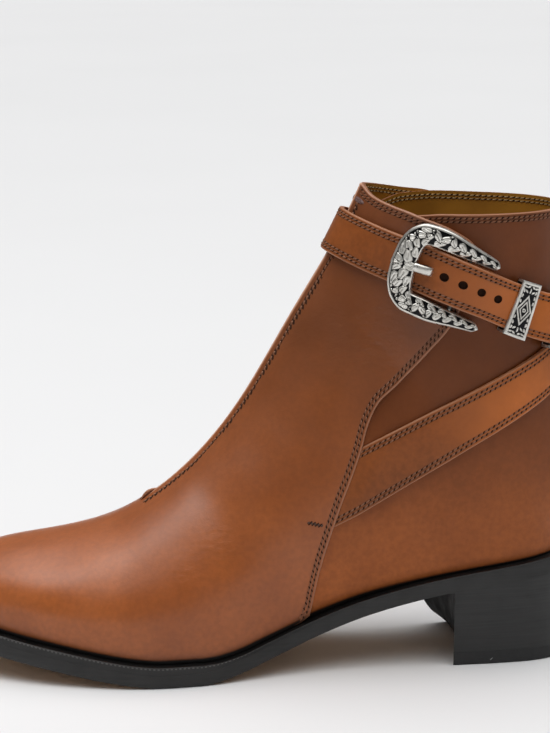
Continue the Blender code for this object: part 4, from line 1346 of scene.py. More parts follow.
def leather(name, light, dark, lighting_end, fade, coat=0.04, specular=0.3, rough=0.4):
    """Smooth tan leather: mottled dye, painted light and shade that change it along one axis, fine grain,
    pale cut edges, painted shade in the sewn grooves, painted shade above the welt that turns black at the
    foot, and fine wrinkles. fade: axis, first and last place in metres."""
    look = Look(name, rough, coat=coat, coat_rough=0.28, specular=specular)
    mottled = look.span(look.noise(scale=38.0, detail=4.0), 0.32, 0.7)
    axis, *ends = fade
    place = look.node("ShaderNodeSeparateXYZ", {"Vector": look.place()}).outputs[axis]
    # painted light and shade: the colour changes along the axis
    painted_lighting = look.mix(mottled, lighting_end, shade(lighting_end, 0.76))
    dye = look.mix(look.span(place, *ends), look.mix(mottled, light, dark), painted_lighting)
    dye = look.mix(look.span(look.noise(scale=420.0), 0.35, 0.65, 0.0, 0.25), dye, shade(lighting_end, 0.72))
    tone, groove, cut = (look.mark(mark) for mark in ("tone", "groove", "cut"))
    # painted shade above the welt: dark brown, then black at the very foot
    dye = look.mix(look.span(tone, 0.0, 0.6, 0.0, 0.6), dye, FOOT_SHADE_BROWN)
    dye = look.mix(look.span(tone, 0.5, 0.78), dye, FOOT_SHADE_BLACK)
    # the stitch grooves are painted darker as shade
    dye = look.mix(look.span(groove, 0.0, 1.0, 0.0, 0.5), dye, GROOVE_SHADE)
    dye = look.mix(look.span(cut, 0.0, 1.0, 0.0, 0.8), dye, CUT_EDGE)
    dye = look.mix(look.span(cut, 1.0, 2.0), dye, PIPING)
    gloss = look.span(look.noise(scale=60.0), 0.3, 0.7, rough - 0.06, rough + 0.08)
    grain = look.bump(look.cells(scale=1500.0), distance=0.00006, strength=0.35)
    grain = look.bump(look.noise(scale=900.0, detail=4.0), distance=0.00012, strength=0.35, before=grain)
    creased = look.noise(scale=420.0, detail=4.0, stretch=(0.45, 1.0, 1.0), turn=(0.0, 0.7, 0.0))
    crinkle = look.node("ShaderNodeMath", {0: creased, 1: look.mark("relief")}, operation="MULTIPLY")
    grain = look.bump(crinkle.outputs[0], distance=0.0005, strength=0.65, before=grain)
    grain = look.bump(look.noise(scale=90.0), distance=0.0005, strength=0.2, before=grain)
    return look.done(colour=dye, rough=gloss, normal=grain)


def black_edge(name, base, lines, rough=0.36, wheel=False, specular=0.42):
    """Dyed and waxed sole leather with fine lines along its layers, and pale wheel marks and painted shade
    on the top of a welt.
    """
    look = Look(name, rough, coat=0.1 * specular, coat_rough=0.25, specular=specular)
    streak = look.noise(scale=lines, stretch=(0.03, 0.03, 1.0))
    dye = look.mix(look.span(streak, 0.35, 0.75), base, shade(base, 1.6))
    if wheel:
        dye = look.mix(look.mark("relief"), dye, WHEEL_MARK)
        # the welt's top is painted near black as shade
        dye = look.mix(look.mark("tone"), dye, WELT_TOP_SHADE)
    gloss = look.span(look.noise(scale=140.0), 0.3, 0.7, rough - 0.06, rough + 0.14)
    grain = look.bump(streak, distance=0.00007, strength=0.4)
    grain = look.bump(look.noise(scale=700.0), distance=0.00008, strength=0.4, before=grain)
    return look.done(colour=dye, rough=gloss, normal=grain)


def plain(name, light, dark, scale, rough, scuff=None, specular=0.5):
    """A mottled surface with a fine bump, and one pale scuff if asked."""
    look = Look(name, rough, specular=specular)
    dye = look.mix(look.span(look.noise(scale), 0.3, 0.7), light, dark)
    if scuff:
        dye = look.mix(look.spot(*scuff), dye, SCUFF_PALE)
    grain = look.bump(look.noise(scale * 6.0), distance=0.0001, strength=0.5)
    return look.done(colour=dye, normal=grain)


def silver(name):
    """Antique silver: bright worn tops, black patina in the recesses of the relief, and the same black as
    painted shade on the bar and the keepers' walls.
    """
    look = Look(name, 0.3, metal=0.88)
    worn = look.mix(look.span(look.noise(scale=160.0, detail=4.0), 0.3, 0.7), SILVER_BRIGHT, SILVER_WORN)
    dye = look.mix(look.mark("relief"), worn, SILVER_PATINA_AND_SHADE)
    gloss = look.span(look.noise(scale=420.0), 0.3, 0.7, 0.24, 0.4)
    grain = look.bump(look.noise(scale=700.0), distance=0.00005, strength=0.4)
    return look.done(colour=dye, rough=gloss, normal=grain)


# Painted shade darkens the quarters and the front higher up; painted light brightens the strap towards the
# back
TAN = leather("quarter_leather", (0.5, 0.136, 0.028), (0.39, 0.102, 0.02), (0.18, 0.047, 0.0095),
              ("Z", 0.03, 0.12), specular=0.24)
TAN_FRONT = leather("front_leather", (0.42, 0.112, 0.023), (0.33, 0.084, 0.0165), (0.21, 0.057, 0.0125),
                    ("Z", 0.045, 0.15), coat=0.36, specular=0.34)
TAN_STRAP = leather("strap_leather_top", (0.245, 0.066, 0.013), (0.188, 0.05, 0.0098), (0.56, 0.153, 0.028),
                    ("X", 0.072, 0.115), specular=0.3)
LINING = plain("mustard_lining", (0.47, 0.21, 0.014), (0.35, 0.148, 0.009), 60.0, 0.62)
SOCK = plain("sock_leather", (0.34, 0.2, 0.06), (0.26, 0.145, 0.04), 50.0, 0.6)
THREAD = plain("tan_thread", (0.26, 0.1, 0.042), (0.17, 0.062, 0.025), 900.0, 0.55)
PALE_THREAD = plain("pale_thread", (0.5, 0.38, 0.2), (0.38, 0.27, 0.13), 900.0, 0.65)
MAUVE_THREAD = plain("mauve_thread", (0.16, 0.085, 0.075), (0.11, 0.055, 0.048), 900.0, 0.6)
# Painted shade for the pricked holes and for the walls and floors of the strap's holes
HOLE_SHADE = plain("pricked_hole_shade", (0.048, 0.02, 0.011), (0.026, 0.011, 0.006), 500.0, 0.8, specular=0.1)
BROWN_THREAD = plain("brown_thread", (0.1, 0.042, 0.02), (0.045, 0.018, 0.009), 900.0, 0.6)
SOLE_EDGE = black_edge("sole_edge_black", (0.011, 0.0105, 0.01), 900.0)
WELT_BLACK = black_edge("welt_black", (0.011, 0.0105, 0.01), 900.0, 0.42, wheel=True)
# the breast, which faces the shade under the arch, is a darker copy of the heel's black: painted shade
BREAST_SHADE_BLACK = black_edge("heel_breast_shaded_black", (0.005, 0.005, 0.005), 1200.0, 0.6, specular=0.04)
STACK_BLACK = black_edge("heel_stack_black", (0.012, 0.0118, 0.0115), 1200.0)
RUBBER = plain("top_lift_rubber", (0.017, 0.0165, 0.017), (0.011, 0.011, 0.011), 300.0, 0.6, SCUFF)
SILVER = silver("antique_silver_metal")
SOLE_TREAD = plain("tread_leather", (0.56, 0.36, 0.21), (0.46, 0.28, 0.15), 70.0, 0.5)


UPPER_SEWN = Piece()
LINING_SEWN = Piece()
STRAP_SEWN = Piece()


def contour(points, up, gap, level, other=None):
    """Places and normals on a grid at one distance from its first column."""
    found = []
    for i, line in enumerate(gap):
        j = int(np.argmax(line > level))
        if j > 0 and (other is None or other[i, j] > level):
            share = (level - line[j - 1]) / (line[j] - line[j - 1])
            spot = points[i, j - 1] * (1 - share) + points[i, j] * share
            found.append(np.concatenate([spot, up[i, j]]))
    found = np.array(found)
    return found[:, :3], found[:, 3:]


def turned(*grids):
    """Grids whose first column is the last row of the given ones."""
    return [np.swapaxes(grid[::-1], 0, 1) for grid in grids]


def near_end(length, middle):
    """Shares of a length, closer together near its cut end."""
    last = 1 - np.array(EDGE_STEPS)[::-1] / length
    return np.concatenate([np.linspace(0.0, last[0], middle + 2)[:-1], last])


def skin(piece, u, q, side, lift, low, **marks):
    """Both faces of a sheet on the upper, and the normals between them."""
    over = surface(u, q, side, lift)
    under = surface(u, q, side, low)
    # the outer face gets painted shade just above the welt
    piece.grid(over, 0, tone=foot_shade(u, q, side), **marks)
    piece.grid(under, 1)
    return over, under, unit(over - under)


def make_quarters():
    piece = Piece()
    shaft = near_end(COLLAR_REACH, 20)
    rows = np.concatenate([
        np.linspace(0, WAIST_ROW, 20),
        np.linspace(WAIST_ROW, HEEL_ROW, 60)[1:],
        np.linspace(HEEL_ROW, SHAFT_ROW, 9)[1:],
        SHAFT_ROW + (LAST_ROW - SHAFT_ROW) * shaft[1:],
    ])
    rise = np.clip((rows - SHAFT_ROW) / (LAST_ROW - SHAFT_ROW), 0, 1)[:, None]
    columns = np.sin(np.linspace(0, math.pi / 2, 61)) ** 1.2
    stand = rows <= HEEL_ROW + TINY
    for side in (OUTER, INNER):
        line = COLLAR_LINE[side]
        top = climb(columns, side, lambda points: points[..., 2] - line(points[..., 0]), SHAFT_ROW)
        u = np.minimum(rows, SHAFT_ROW)[:, None] + rise * (top[None, :] - SHAFT_ROW)
        q = np.broadcast_to(columns, u.shape)
        gap = gap_to(surface(u, q, side), surface(top, columns, side))
        groove = sewn(gap)
        lift = -rolled(gap, THIN_ROUND) - GROOVE_DEPTH * groove
        marks = {"cut": fade_out(gap, *THIN_CUT), "groove": groove}
        over, under, up = skin(piece, u, q, side, lift, -WALL, **marks)
        piece.rim(over, under, "end", cut=1.0)
        # the foot edge on the welt is painted black as shade
        piece.strip(over[stand, 0], under[stand, 0], tone=1.0)
        for row in STITCH_ROWS:
            sew(UPPER_SEWN, *contour(*turned(over, up, gap), row))
            sew(LINING_SEWN, *contour(*turned(under, -up, gap), row), hole=LINING_HOLE)
    piece.make("quarters", [TAN, LINING], ["upper"])


def front_columns():
    """Shares across a flap, closer together near its rear edge and the ridge."""
    middle_ = np.linspace(EDGE_STEPS[-1], FLAP_PLAIN, 30)[1:]
    return np.concatenate([np.array(EDGE_STEPS), middle_, FLAP_ACROSS - np.array(RIDGE_STEPS)]) / FLAP_ACROSS


def front_rows():
    """Rows of the vamp and the outer flap, closer together at the toe and below the flap's top."""
    ends = [seat_row(FLAP_FOOT), THROAT_ROW]
    low = np.concatenate([TOE_ROWS, np.arange(1.0, INSTEP_ROW, VAMP_STEP), ends])
    high = near_end(FLAP_HIGH, 72)
    return np.concatenate([np.sort(low), INSTEP_ROW + (LAST_ROW - INSTEP_ROW) * high])


def flap_place(columns, rows, side):
    """Row u and place q of a flap's grid between its rear edge and the ridge."""
    top = flap_top(columns, side)
    share = np.clip((rows - INSTEP_ROW) / (LAST_ROW - INSTEP_ROW), 0, 1)[:, None]
    u = np.minimum(rows, INSTEP_ROW)[:, None] + share * (top[None, :] - INSTEP_ROW)
    return across_flap(u, columns, side)


def across_flap(u, columns, side):
    start = flap_edge(u.ravel(), side).reshape(u.shape)
    return u, start + columns[None, :] * (1 - start)


def medial_seam(q):
    """The row where the inner flap is sewn under the vamp."""
    return THROAT_ROW + SEAM_SWEEP * (1 - q)


def sew_flap(over, up, rear, above, front, free):
    """The double rows along the rear edge and the upper edge of a flap."""
    aside = np.minimum(rear, front)
    for row in STITCH_ROWS:
        sew(UPPER_SEWN, *contour(over[free], up[free], rear[free], row, above[free]))
        sew(UPPER_SEWN, *contour(*turned(over, up, above), row, *turned(aside)))


def make_vamp():
    """The vamp with the outer flap in one piece of leather; its inner half ends at the medial seam."""
    columns, rows = front_columns(), front_rows()
    foot = rows >= seat_row(FLAP_FOOT) - TINY
    open_ = rows >= THROAT_ROW - TINY
    piece = Piece()
    u, q = flap_place(columns, rows, OUTER)
    base = surface(u, q, OUTER, GAUGE_LIFT)
    rear, above, front = (gap_to(base, edge) for edge in (base[foot, 0], base[-1], base[open_, -1]))
    gap = np.minimum(rear, above)
    raised = smooth_step(rows, THROAT_ROW, THROAT_ROW + SEAM_START)[:, None]
    groove = np.maximum(sewn(gap), raised * pressed(front, FRONT_ROW))
    bead = raised * (SEAM_RISE * fade_out(front, *SEAM_FADE) - rolled(front, SEAM_ROUND))
    lift = FLAP_LIFT - rolled(gap, EDGE_ROUND) - GROOVE_DEPTH * groove + bead
    pale = np.maximum(fade_out(gap, *FLAP_CUT), 2 * raised * fade_out(front, *PIPING_FADE))
    marks = {"cut": pale, "groove": groove, "relief": wrinkled(u, q, OUTER)}
    over, under, up = skin(piece, u, q, OUTER, lift, FLAP_UNDER, **marks)
    piece.strip(over[foot, 0], under[foot, 0], cut=1.0)
    # the foot edge on the welt is painted black as shade
    piece.strip(over[~foot, 0], under[~foot, 0], tone=1.0)
    piece.rim(over, under, "end", cut=1.0)
    piece.strip(over[open_, -1], under[open_, -1], cut=1.0)
    sew_flap(over, up, rear, above, front, foot)
    seam = contour(*(grid[open_, ::-1] for grid in (over, up, front)), FRONT_ROW, above[open_, ::-1])
    sew(UPPER_SEWN, *seam, wide=FRONT_WIDE, hole=FRONT_HOLE)

    u = rows[rows <= THROAT_ROW + TINY][:, None] * medial_seam(columns)[None, :] / THROAT_ROW
    q = np.broadcast_to(columns, u.shape)
    base = surface(u, q, INNER, GAUGE_LIFT)
    gap = gap_to(base, base[-1])
    fade = smooth_step(1 - columns, 0.0, RIDGE_FADE)[None, :]
    groove = fade * pressed(gap, MEDIAL_ROW)
    lift = FLAP_LIFT - fade * rolled(gap, THIN_ROUND) - GROOVE_DEPTH * groove
    marks = {"cut": fade * fade_out(gap, *THIN_CUT), "groove": groove, "relief": wrinkled(u, q, INNER)}
    over, under, up = skin(piece, u, q, INNER, lift, FLAP_UNDER, **marks)
    # the edge on the sole is painted black as shade
    piece.rim(over, under, "left", tone=1.0)
    piece.rim(over, under, "end", cut=1.0)
    sew(UPPER_SEWN, *contour(*turned(over, up, gap), MEDIAL_ROW))
    looks = [TAN_FRONT, LINING]
    piece.make("vamp_and_outer_flap", looks, ["front_panel"], merge=VAMP_MERGE)


def make_inner_flap():
    """The inner flap, whose lower end is tucked under the vamp."""
    piece = Piece()
    columns = front_columns()
    share = near_end(INNER_FLAP_HIGH, 90)[:, None]
    start = medial_seam(columns) - SEAM_LAP
    top = flap_top(columns, INNER)
    u, q = across_flap(start[None, :] * (1 - share) + top[None, :] * share, columns, INNER)
    base = surface(u, q, INNER, GAUGE_LIFT)
    free = q[:, 0] > 0
    edges = (base[free, 0], base[-1], base[0], base[:, -1])
    rear, above, below, front = (gap_to(base, edge) for edge in edges)
    gap = np.minimum(rear, above)
    groove = sewn(gap)
    tuck = SEAM_TUCK * fade_out(below, *TUCK_FADE) + RIDGE_TUCK * fade_out(front, *RIDGE_TUCK_FADE)
    lift = FLAP_LIFT - INNER_DROP - rolled(gap, EDGE_ROUND) - GROOVE_DEPTH * groove - tuck
    marks = {"cut": fade_out(gap, *FLAP_CUT), "groove": groove, "relief": wrinkled(u, q, INNER)}
    over, under, up = skin(piece, u, q, INNER, lift, FLAP_UNDER, **marks)
    piece.strip(over[free, 0], under[free, 0], cut=1.0)
    # the foot edge on the welt is painted black as shade
    piece.strip(over[~free, 0], under[~free, 0], tone=1.0)
    piece.rim(over, under, "end", cut=1.0)
    piece.rim(over, under, "right start")
    sew_flap(over, up, rear, above, front, free)
    for row in STITCH_ROWS:
        line = contour(*turned(under, -up, above), row, *turned(np.minimum(rear, front)))
        sew(LINING_SEWN, *line, hole=LINING_HOLE)
    piece.make("inner_flap", [TAN_FRONT, LINING], ["front_panel"])


def strap_width(along, anchor):
    """The straps narrow over ANCHOR_TAPER from the flap where they are sewn in."""
    share = np.clip(1 - np.abs(along - anchor) / ANCHOR_TAPER, 0, 1)
    return STRAP_WIDTH + (ANCHOR_WIDTH - STRAP_WIDTH) * share


LONG_PATH = StrapPath(cross=-1.0, way=-1, first=-1.75, last=0.995)
BUCKLE_PATH = StrapPath(cross=1.0, way=1, first=0.2, last=1.75)
long_start = LONG_PATH.along[0]
buckle_end = BUCKLE_PATH.along[-1]
LONG = Band(LONG_PATH, math.ceil(long_start) + 1, 66.0, reach=14.0)
BUCKLE = Band(BUCKLE_PATH, -32.0, math.floor(buckle_end) - 1, reach=14.0)
HARDWARE = Band(BUCKLE_PATH, -36.0, 60.0, reach=22.0)
long_lift = monotone(LONG_STRAP_LIFT)
buckle_lift = monotone(BUCKLE_STRAP_LIFT)


def strap_columns():
    """Distances of the columns from the nearer edge, and the edge's side, across a strap."""
    steps = np.array((*EDGE_STEPS[:-2], 6.6, 8.4))
    inset = np.concatenate([steps, [STRAP_WIDTH / 2], steps[::-1]])
    side = np.concatenate([-np.ones(len(steps)), [0.0], np.ones(len(steps))])
    return inset, side


STRAP_INSET, STRAP_SIDE = strap_columns()


def anchor(band, low, high, steps=300):
    """The places along a band where its columns go in under the rear edge of a flap."""
    across = STRAP_SIDE * (ANCHOR_WIDTH / 2 - STRAP_INSET)
    places = np.linspace(low, high, steps)
    line = band.at(places[:, None], across[None, :], 0.0)
    clear = line[..., 0] - flap_rear_line(line[..., 2]) - ANCHOR_TUCK
    crossing = np.argmax(clear[:-1] * clear[1:] <= 0, axis=0)
    column = np.arange(len(across))
    before, after = clear[crossing, column], clear[crossing + 1, column]
    return places[crossing] + before / (before - after) * (places[1] - places[0])


def across_strap(along, middle_):
    """Place across the strap of every column, and half the strap's width there."""
    half = strap_width(along, middle_) / 2
    return STRAP_SIDE * (half - STRAP_INSET), half


def sew_sides(over, up, gap, row):
    """A row of stitches along each side of a strap."""
    for flip in (1, -1):
        sew(STRAP_SEWN, *contour(*(grid[:, ::flip] for grid in (over, up, gap)), row))


def make_long_strap():
    """The strap with the holes: sewn under the outer flap, with a rounded tip."""
    start = anchor(LONG, long_start + ANCHOR_SEARCH[0], long_start + ANCHOR_SEARCH[1])
    middle_ = start.mean()
    end = TIP_END - TIP_ROUND * np.abs(1 - STRAP_INSET / (STRAP_WIDTH / 2)) ** TIP_POWER
    base = np.concatenate([
        np.arange(middle_, FINE_ALONG[0], STRAP_STEP),
        np.arange(*FINE_ALONG, 0.6),
        np.arange(FINE_ALONG[1], 50.0, 1.0),
        TIP_END - np.array((*EDGE_STEPS, 10.0))[::-1],
    ])
    back = fade_out(base, middle_, middle_ + ANCHOR_SKEW)
    tip = smooth_step(base, TIP_END - TIP_REACH, TIP_END)
    along = base[:, None] + back[:, None] * (start - middle_)[None, :]
    along = along + tip[:, None] * (end - TIP_END)[None, :]
    across, half = across_strap(along, middle_)
    gap = np.minimum(half - np.abs(across), TIP_GAP * np.maximum(end[None, :] - along, 0))
    groove = sewn(gap)
    sunk = fade_out(along - start[None, :], 0.0, SUNK_REACH)
    low = long_lift(along) * (1 - sunk) + SUNK_LIFT * sunk
    top = low + STRAP_THICK - SUNK_THIN * sunk + STRAP_CROWN * (1 - (across / half) ** 2)
    piece = Piece()
    over = LONG.at(along, across, top - rolled(gap, EDGE_ROUND) - GROOVE_DEPTH * groove)
    under = LONG.at(along, across, low)
    piece.grid(over, cut=fade_out(gap, *STRAP_CUT), groove=groove)
    piece.grid(under)
    piece.rim(over, under, "left right end", cut=1.0)
    piece.rim(over, under, "start")
    up = unit(over - under)
    cap = slice(len(base) - len(EDGE_STEPS), None)
    for row in STITCH_ROWS:
        sew_sides(over, up, gap, row)
        sew(STRAP_SEWN, *contour(*turned(over[cap], up[cap], gap[cap]), row))
    strap = piece.make("long_strap_leather", [TAN_STRAP, HOLE_SHADE], ["long_strap"])
    cutter = Piece()
    turn = circle(28)
    for place in (PRONG_HOLE, *HOLES):
        long = PRONG_HOLE_LENGTH if place == PRONG_HOLE else HOLE_WIDTH
        spots = place + long / 2 * np.cos(turn)
        sides = HOLE_ACROSS + HOLE_WIDTH / 2 * np.sin(turn)
        bottom = float(long_lift(place))
        rings = [LONG.at(spots, sides, bottom + rise) for rise in (-1.0, STRAP_THICK + 1.0)]
        cutter.tube(np.stack(rings))
        if place != PRONG_HOLE:
            # a dark disc of painted shade at the floor of each hole
            STRAP_SEWN.cap(LONG.at(spots, sides, bottom + HOLE_FLOOR), 1)
    punch(strap, cutter)


def punch(body, cutter):
    """Cuts holes through a piece; their walls take its second material, painted dark as shade."""
    mesh = cutter.mesh("punch", 0.0)
    mesh.materials.append(HOLE_SHADE)
    tool = bpy.data.objects.new("punch", mesh)
    bpy.context.scene.collection.objects.link(tool)
    step = body.modifiers.new("holes", "BOOLEAN")
    step.operation = "DIFFERENCE"
    step.solver = "EXACT"
    step.material_mode = "TRANSFER"
    step.object = tool
    bpy.context.view_layer.update()
    cut = body.evaluated_get(bpy.context.evaluated_depsgraph_get())
    mesh = bpy.data.meshes.new_from_object(cut)
    body.modifiers.clear()
    body.data = mesh
    bpy.data.objects.remove(tool)


def make_buckle_strap():
    """The strap that holds the bar: its end is folded round the bar and lies on itself."""
    end = anchor(BUCKLE, buckle_end - ANCHOR_SEARCH[1], buckle_end - ANCHOR_SEARCH[0])
    middle_ = end.mean()
    turn = np.radians(np.linspace(*FOLD_TURN, 24))[:, None]
    base = np.concatenate([np.arange(2.0, 24.0, 0.8), np.arange(24.0, middle_, STRAP_STEP), [middle_]])
    back = smooth_step(base, middle_ - ANCHOR_SKEW, middle_)
    along = base[:, None] + back[:, None] * (end - middle_)[None, :]
    sunk = fade_out(end[None, :] - along, 0.0, SUNK_REACH)
    low = buckle_lift(along) * (1 - sunk) + SUNK_LIFT * sunk
    thick = LOOP_THICK + (STRAP_THICK - LOOP_THICK) * smooth_step(along, *FOLD_THICKEN) - SUNK_THIN * sunk
    ones = np.ones((1, len(STRAP_INSET)))
    grids = []
    for way, lift in ((1, low), (-1, low + thick)):
        radius = LOOP_RADIUS + way * LOOP_THICK / 2
        places = np.concatenate([radius * np.cos(turn) * ones, along])
        lifts = np.concatenate([BAR_LIFT + radius * np.sin(turn) * ones, lift])
        grids.append((places, lifts))
    (low_places, low_lifts), (top_places, top_lifts) = grids
    across, half = across_strap(low_places, middle_)
    gap = half - np.abs(across)
    flat = smooth_step(low_places, *FOLD_FLAT)
    groove = sewn(gap) * flat
    piece = Piece()
    under = BUCKLE.at(low_places, across, low_lifts)
    drop = flat * (rolled(gap, EDGE_ROUND) + GROOVE_DEPTH * groove)
    over = BUCKLE.at(top_places, across, top_lifts - drop)
    piece.grid(over, cut=flat * fade_out(gap, *STRAP_CUT), groove=groove)
    piece.grid(under)
    piece.rim(over, under, "left right start", cut=1.0)
    piece.rim(over, under, "end")
    shown = low_places[:, 0] > FOLD_FLAT[1]
    up = unit(over - under)
    for row in STITCH_ROWS:
        sew_sides(over[shown], up[shown], gap[shown], row)
    piece.make("buckle_strap_leather", [TAN_STRAP], ["buckle_strap"])


def leaf_height(place):
    """Height from 0 to 1 of the leaves of LEAVES: bent drops with a groove along the middle, parted by
    valleys where two of them meet."""
    best = np.full(place.shape[:-1], -1.0)
    second = best.copy()
    groove = np.zeros(best.shape)
    for along, share, angle, long, half, bend in LEAVES:
        cos, sin = cos_sin(angle)
        away = place - np.array((along, share * FIELD_WIDE))
        x = (away[..., 0] * cos + away[..., 1] * sin) / (LEAF_GROW * long)
        y = away[..., 1] * cos - away[..., 0] * sin - LEAF_BEND * bend * x * np.abs(x)
        body = np.clip(x, 0.0, 1.0)
        wide = LEAF_GROW * half * np.sqrt(np.clip(np.sin(math.pi * body**LEAF_POINT), 1e-6, 1))
        inside = np.where((x > 0) & (x < 1), np.clip(1 - (y / wide) ** 2, -1, 1), -1.0)
        vein = np.exp(-((y / VEIN_HALF) ** 2)) * smooth_step(body, 0.15, 0.3) * fade_out(body, 0.6, 0.85)
        groove = np.where(inside > best, vein, groove)
        second = np.maximum(second, np.minimum(best, inside))
        best = np.maximum(best, inside)
    valley = smooth_step(best - np.maximum(second, 0), 0.06, 0.4)
    return np.sqrt(np.clip(best, 0, 1)) * valley - VEIN_DEPTH * groove * valley


def frame_edges():
    """The outer and the inner edge of one arm, along and across the strap, and the way from the rim."""
    angle = np.linspace(0, FRAME[-1][0], 360)
    first = (0.0, FRAME[0][1], TIP_WIDE[0], FRAME[0][1] - 0.1, TIP_WIDE[1])
    table = (first, *FRAME[1:])
    columns = [monotone(table, column)(angle) for column in range(1, 5)]
    outer = np.column_stack([RIM + columns[0], columns[1]])
    inner = np.column_stack([RIM + columns[2], columns[3]])
    centre = (outer + inner) / 2
    far = distance(centre)
    wide = np.linalg.norm(outer - inner, axis=1)
    close = np.clip(1 - far / (0.55 * wide[0]), 0, 1)
    shrink = np.sqrt(np.clip(1 - close**2, 0.0, 1))[:, None]
    return centre + (outer - centre) * shrink, centre + (inner - centre) * shrink, far[-1] - far


def both_arms(edge):
    """An edge of the upper arm with the lower arm's after it, which reaches further; both sag a little."""
    lower = edge[-2::-1] * np.array([1.0, -1.0])
    lower[:, 0] += LOWER_ARM * smooth_step(lower[:, 0] - RIM, *LOWER_ARM_FADE)
    whole = np.concatenate([edge, lower])
    whole[:, 1] -= ARM_SAG * smooth_step(whole[:, 0] - RIM, *ARM_SAG_FADE)
    return whole


def frame_lift(along):
    """Underside of the buckle frame: highest at the rim, lower towards the ends of its arms."""
    return FRAME_LIFT[0] + (FRAME_LIFT[1] - FRAME_LIFT[0]) * smooth_step(along - RIM, 0.0, FRAME_DROP)


def make_buckle():
    """The horseshoe frame with a bright rim on both edges and leaves between them, and its bar."""
    outer, inner, far = frame_edges()
    outer[:, 1] -= ARM_SLIM * smooth_step(outer[:, 0] - RIM, *ARM_SLIM_FADE)
    outer, inner = both_arms(outer), both_arms(inner)
    far = np.concatenate([far, far[-2::-1]])
    wide = np.linalg.norm(outer - inner, axis=1)
    w = np.linspace(0, 1, 51)
    spots = inner[:, None] + (outer - inner)[:, None] * w[None, :, None]
    into = w[None, :] * wide[:, None]
    beyond = wide[:, None] - into
    narrow = np.clip(wide / 6.0, 0.75, 1.0)[:, None]
    inner_rim, outer_rim = FRAME_RIM
    field = smooth_step(into / narrow, inner_rim, inner_rim + RIM_SLOPE)
    field = field * smooth_step(beyond / narrow, outer_rim, outer_rim + RIM_SLOPE)
    field = field * smooth_step(far.max() - far, 1.0, 1.6)[:, None]
    room = np.maximum(wide - narrow[:, 0] * sum(FRAME_RIM), 0.6)[:, None]
    share = (into - narrow * inner_rim) / room
    leaf = leaf_height(np.stack([np.broadcast_to(far[:, None], into.shape), share * FIELD_WIDE], -1))
    crown = FRAME_THICK * 0.95 + (FRAME_CROWN + 0.15) * (1 - np.abs(2 * w - 1) ** 2.4)[None, :]
    ring = np.exp(-(((beyond / narrow - outer_rim - RING_GROOVE) / RING_GROOVE) ** 2)) * (field > 0)
    cut = np.maximum(field * (1 - leaf), RING_DEPTH * ring)
    lift = crown - RELIEF_DEPTH * cut - rolled(np.minimum(into, beyond), METAL_ROUND)
    low = frame_lift(spots[..., 0])
    piece = Piece()
    over = HARDWARE.at(spots[..., 0], spots[..., 1], low + lift)
    under = HARDWARE.at(spots[..., 0], spots[..., 1], low)
    piece.grid(over, relief=np.maximum(field * fade_out(leaf, 0.06, 0.4), ring))
    piece.grid(under)
    piece.rim(over, under, "left right start end")
    reach = monotone(FRAME, 4)(BAR_ANGLE) + BAR_BITE
    turn = circle(24)
    side = np.linspace(-reach, reach, 25)[:, None]
    bar = HARDWARE.at(BAR_RADIUS * np.cos(turn), side, BAR_LIFT + BAR_RADIUS * np.sin(turn))
    # the bar is painted dark as shade
    piece.tube(bar, relief=BAR_SHADE)
    piece.make("buckle_frame_metal", [SILVER], ["buckle_frame"])


def make_prong():
    spine = PRONG_LOOK[::-1]
    places = np.linspace(spine[0][0], spine[-1][0], 90)
    turn = circle(24)
    lift, wide, thick = (monotone(spine, column)(places) for column in (1, 2, 3))
    end = np.sqrt(np.clip(1 - (1 - np.clip((places - places[0]) / PRONG_ROUND, 0, 1)) ** 2, 0.02, 1))
    across = HOLE_ACROSS + (wide * end)[:, None] * np.cos(turn)
    rise = lift[:, None] + (thick * end)[:, None] * np.sin(turn)
    piece = Piece()
    piece.tube(HARDWARE.at(places[:, None], across, rise))
    piece.make("buckle_prong_metal", [SILVER], ["buckle_prong"])


def keeper_relief(a, c):
    """Height from 0 to 1 of the keeper's ornament: two diamonds, a ring and leaves in each quarter."""
    line = np.zeros(a.shape)
    value = np.abs(a) / KEEPER_DIAMOND[0] + np.abs(c) / KEEPER_DIAMOND[1]
    for level, half in KEEPER_LINES:
        line = np.maximum(line, np.clip(1.3 - np.abs(value - level) / half, 0, 1))
    radius, half = KEEPER_RING
    line = np.maximum(line, np.clip(1.3 - np.abs(np.hypot(a, c) - radius) / half, 0, 1))
    for turn_a, turn_c in ((1, 1), (1, -1), (-1, 1), (-1, -1)):
        for spot_a, spot_c, lean, long, half in KEEPER_LEAVES:
            x = a * turn_a - spot_a
            y = c * turn_c - spot_c
            cos, sin = cos_sin(lean)
            drop = 1 - ((x * cos + y * sin) / long) ** 2 - ((y * cos - x * sin) / half) ** 2
            line = np.maximum(line, np.clip(1.6 * drop, 0, 1))
    return line


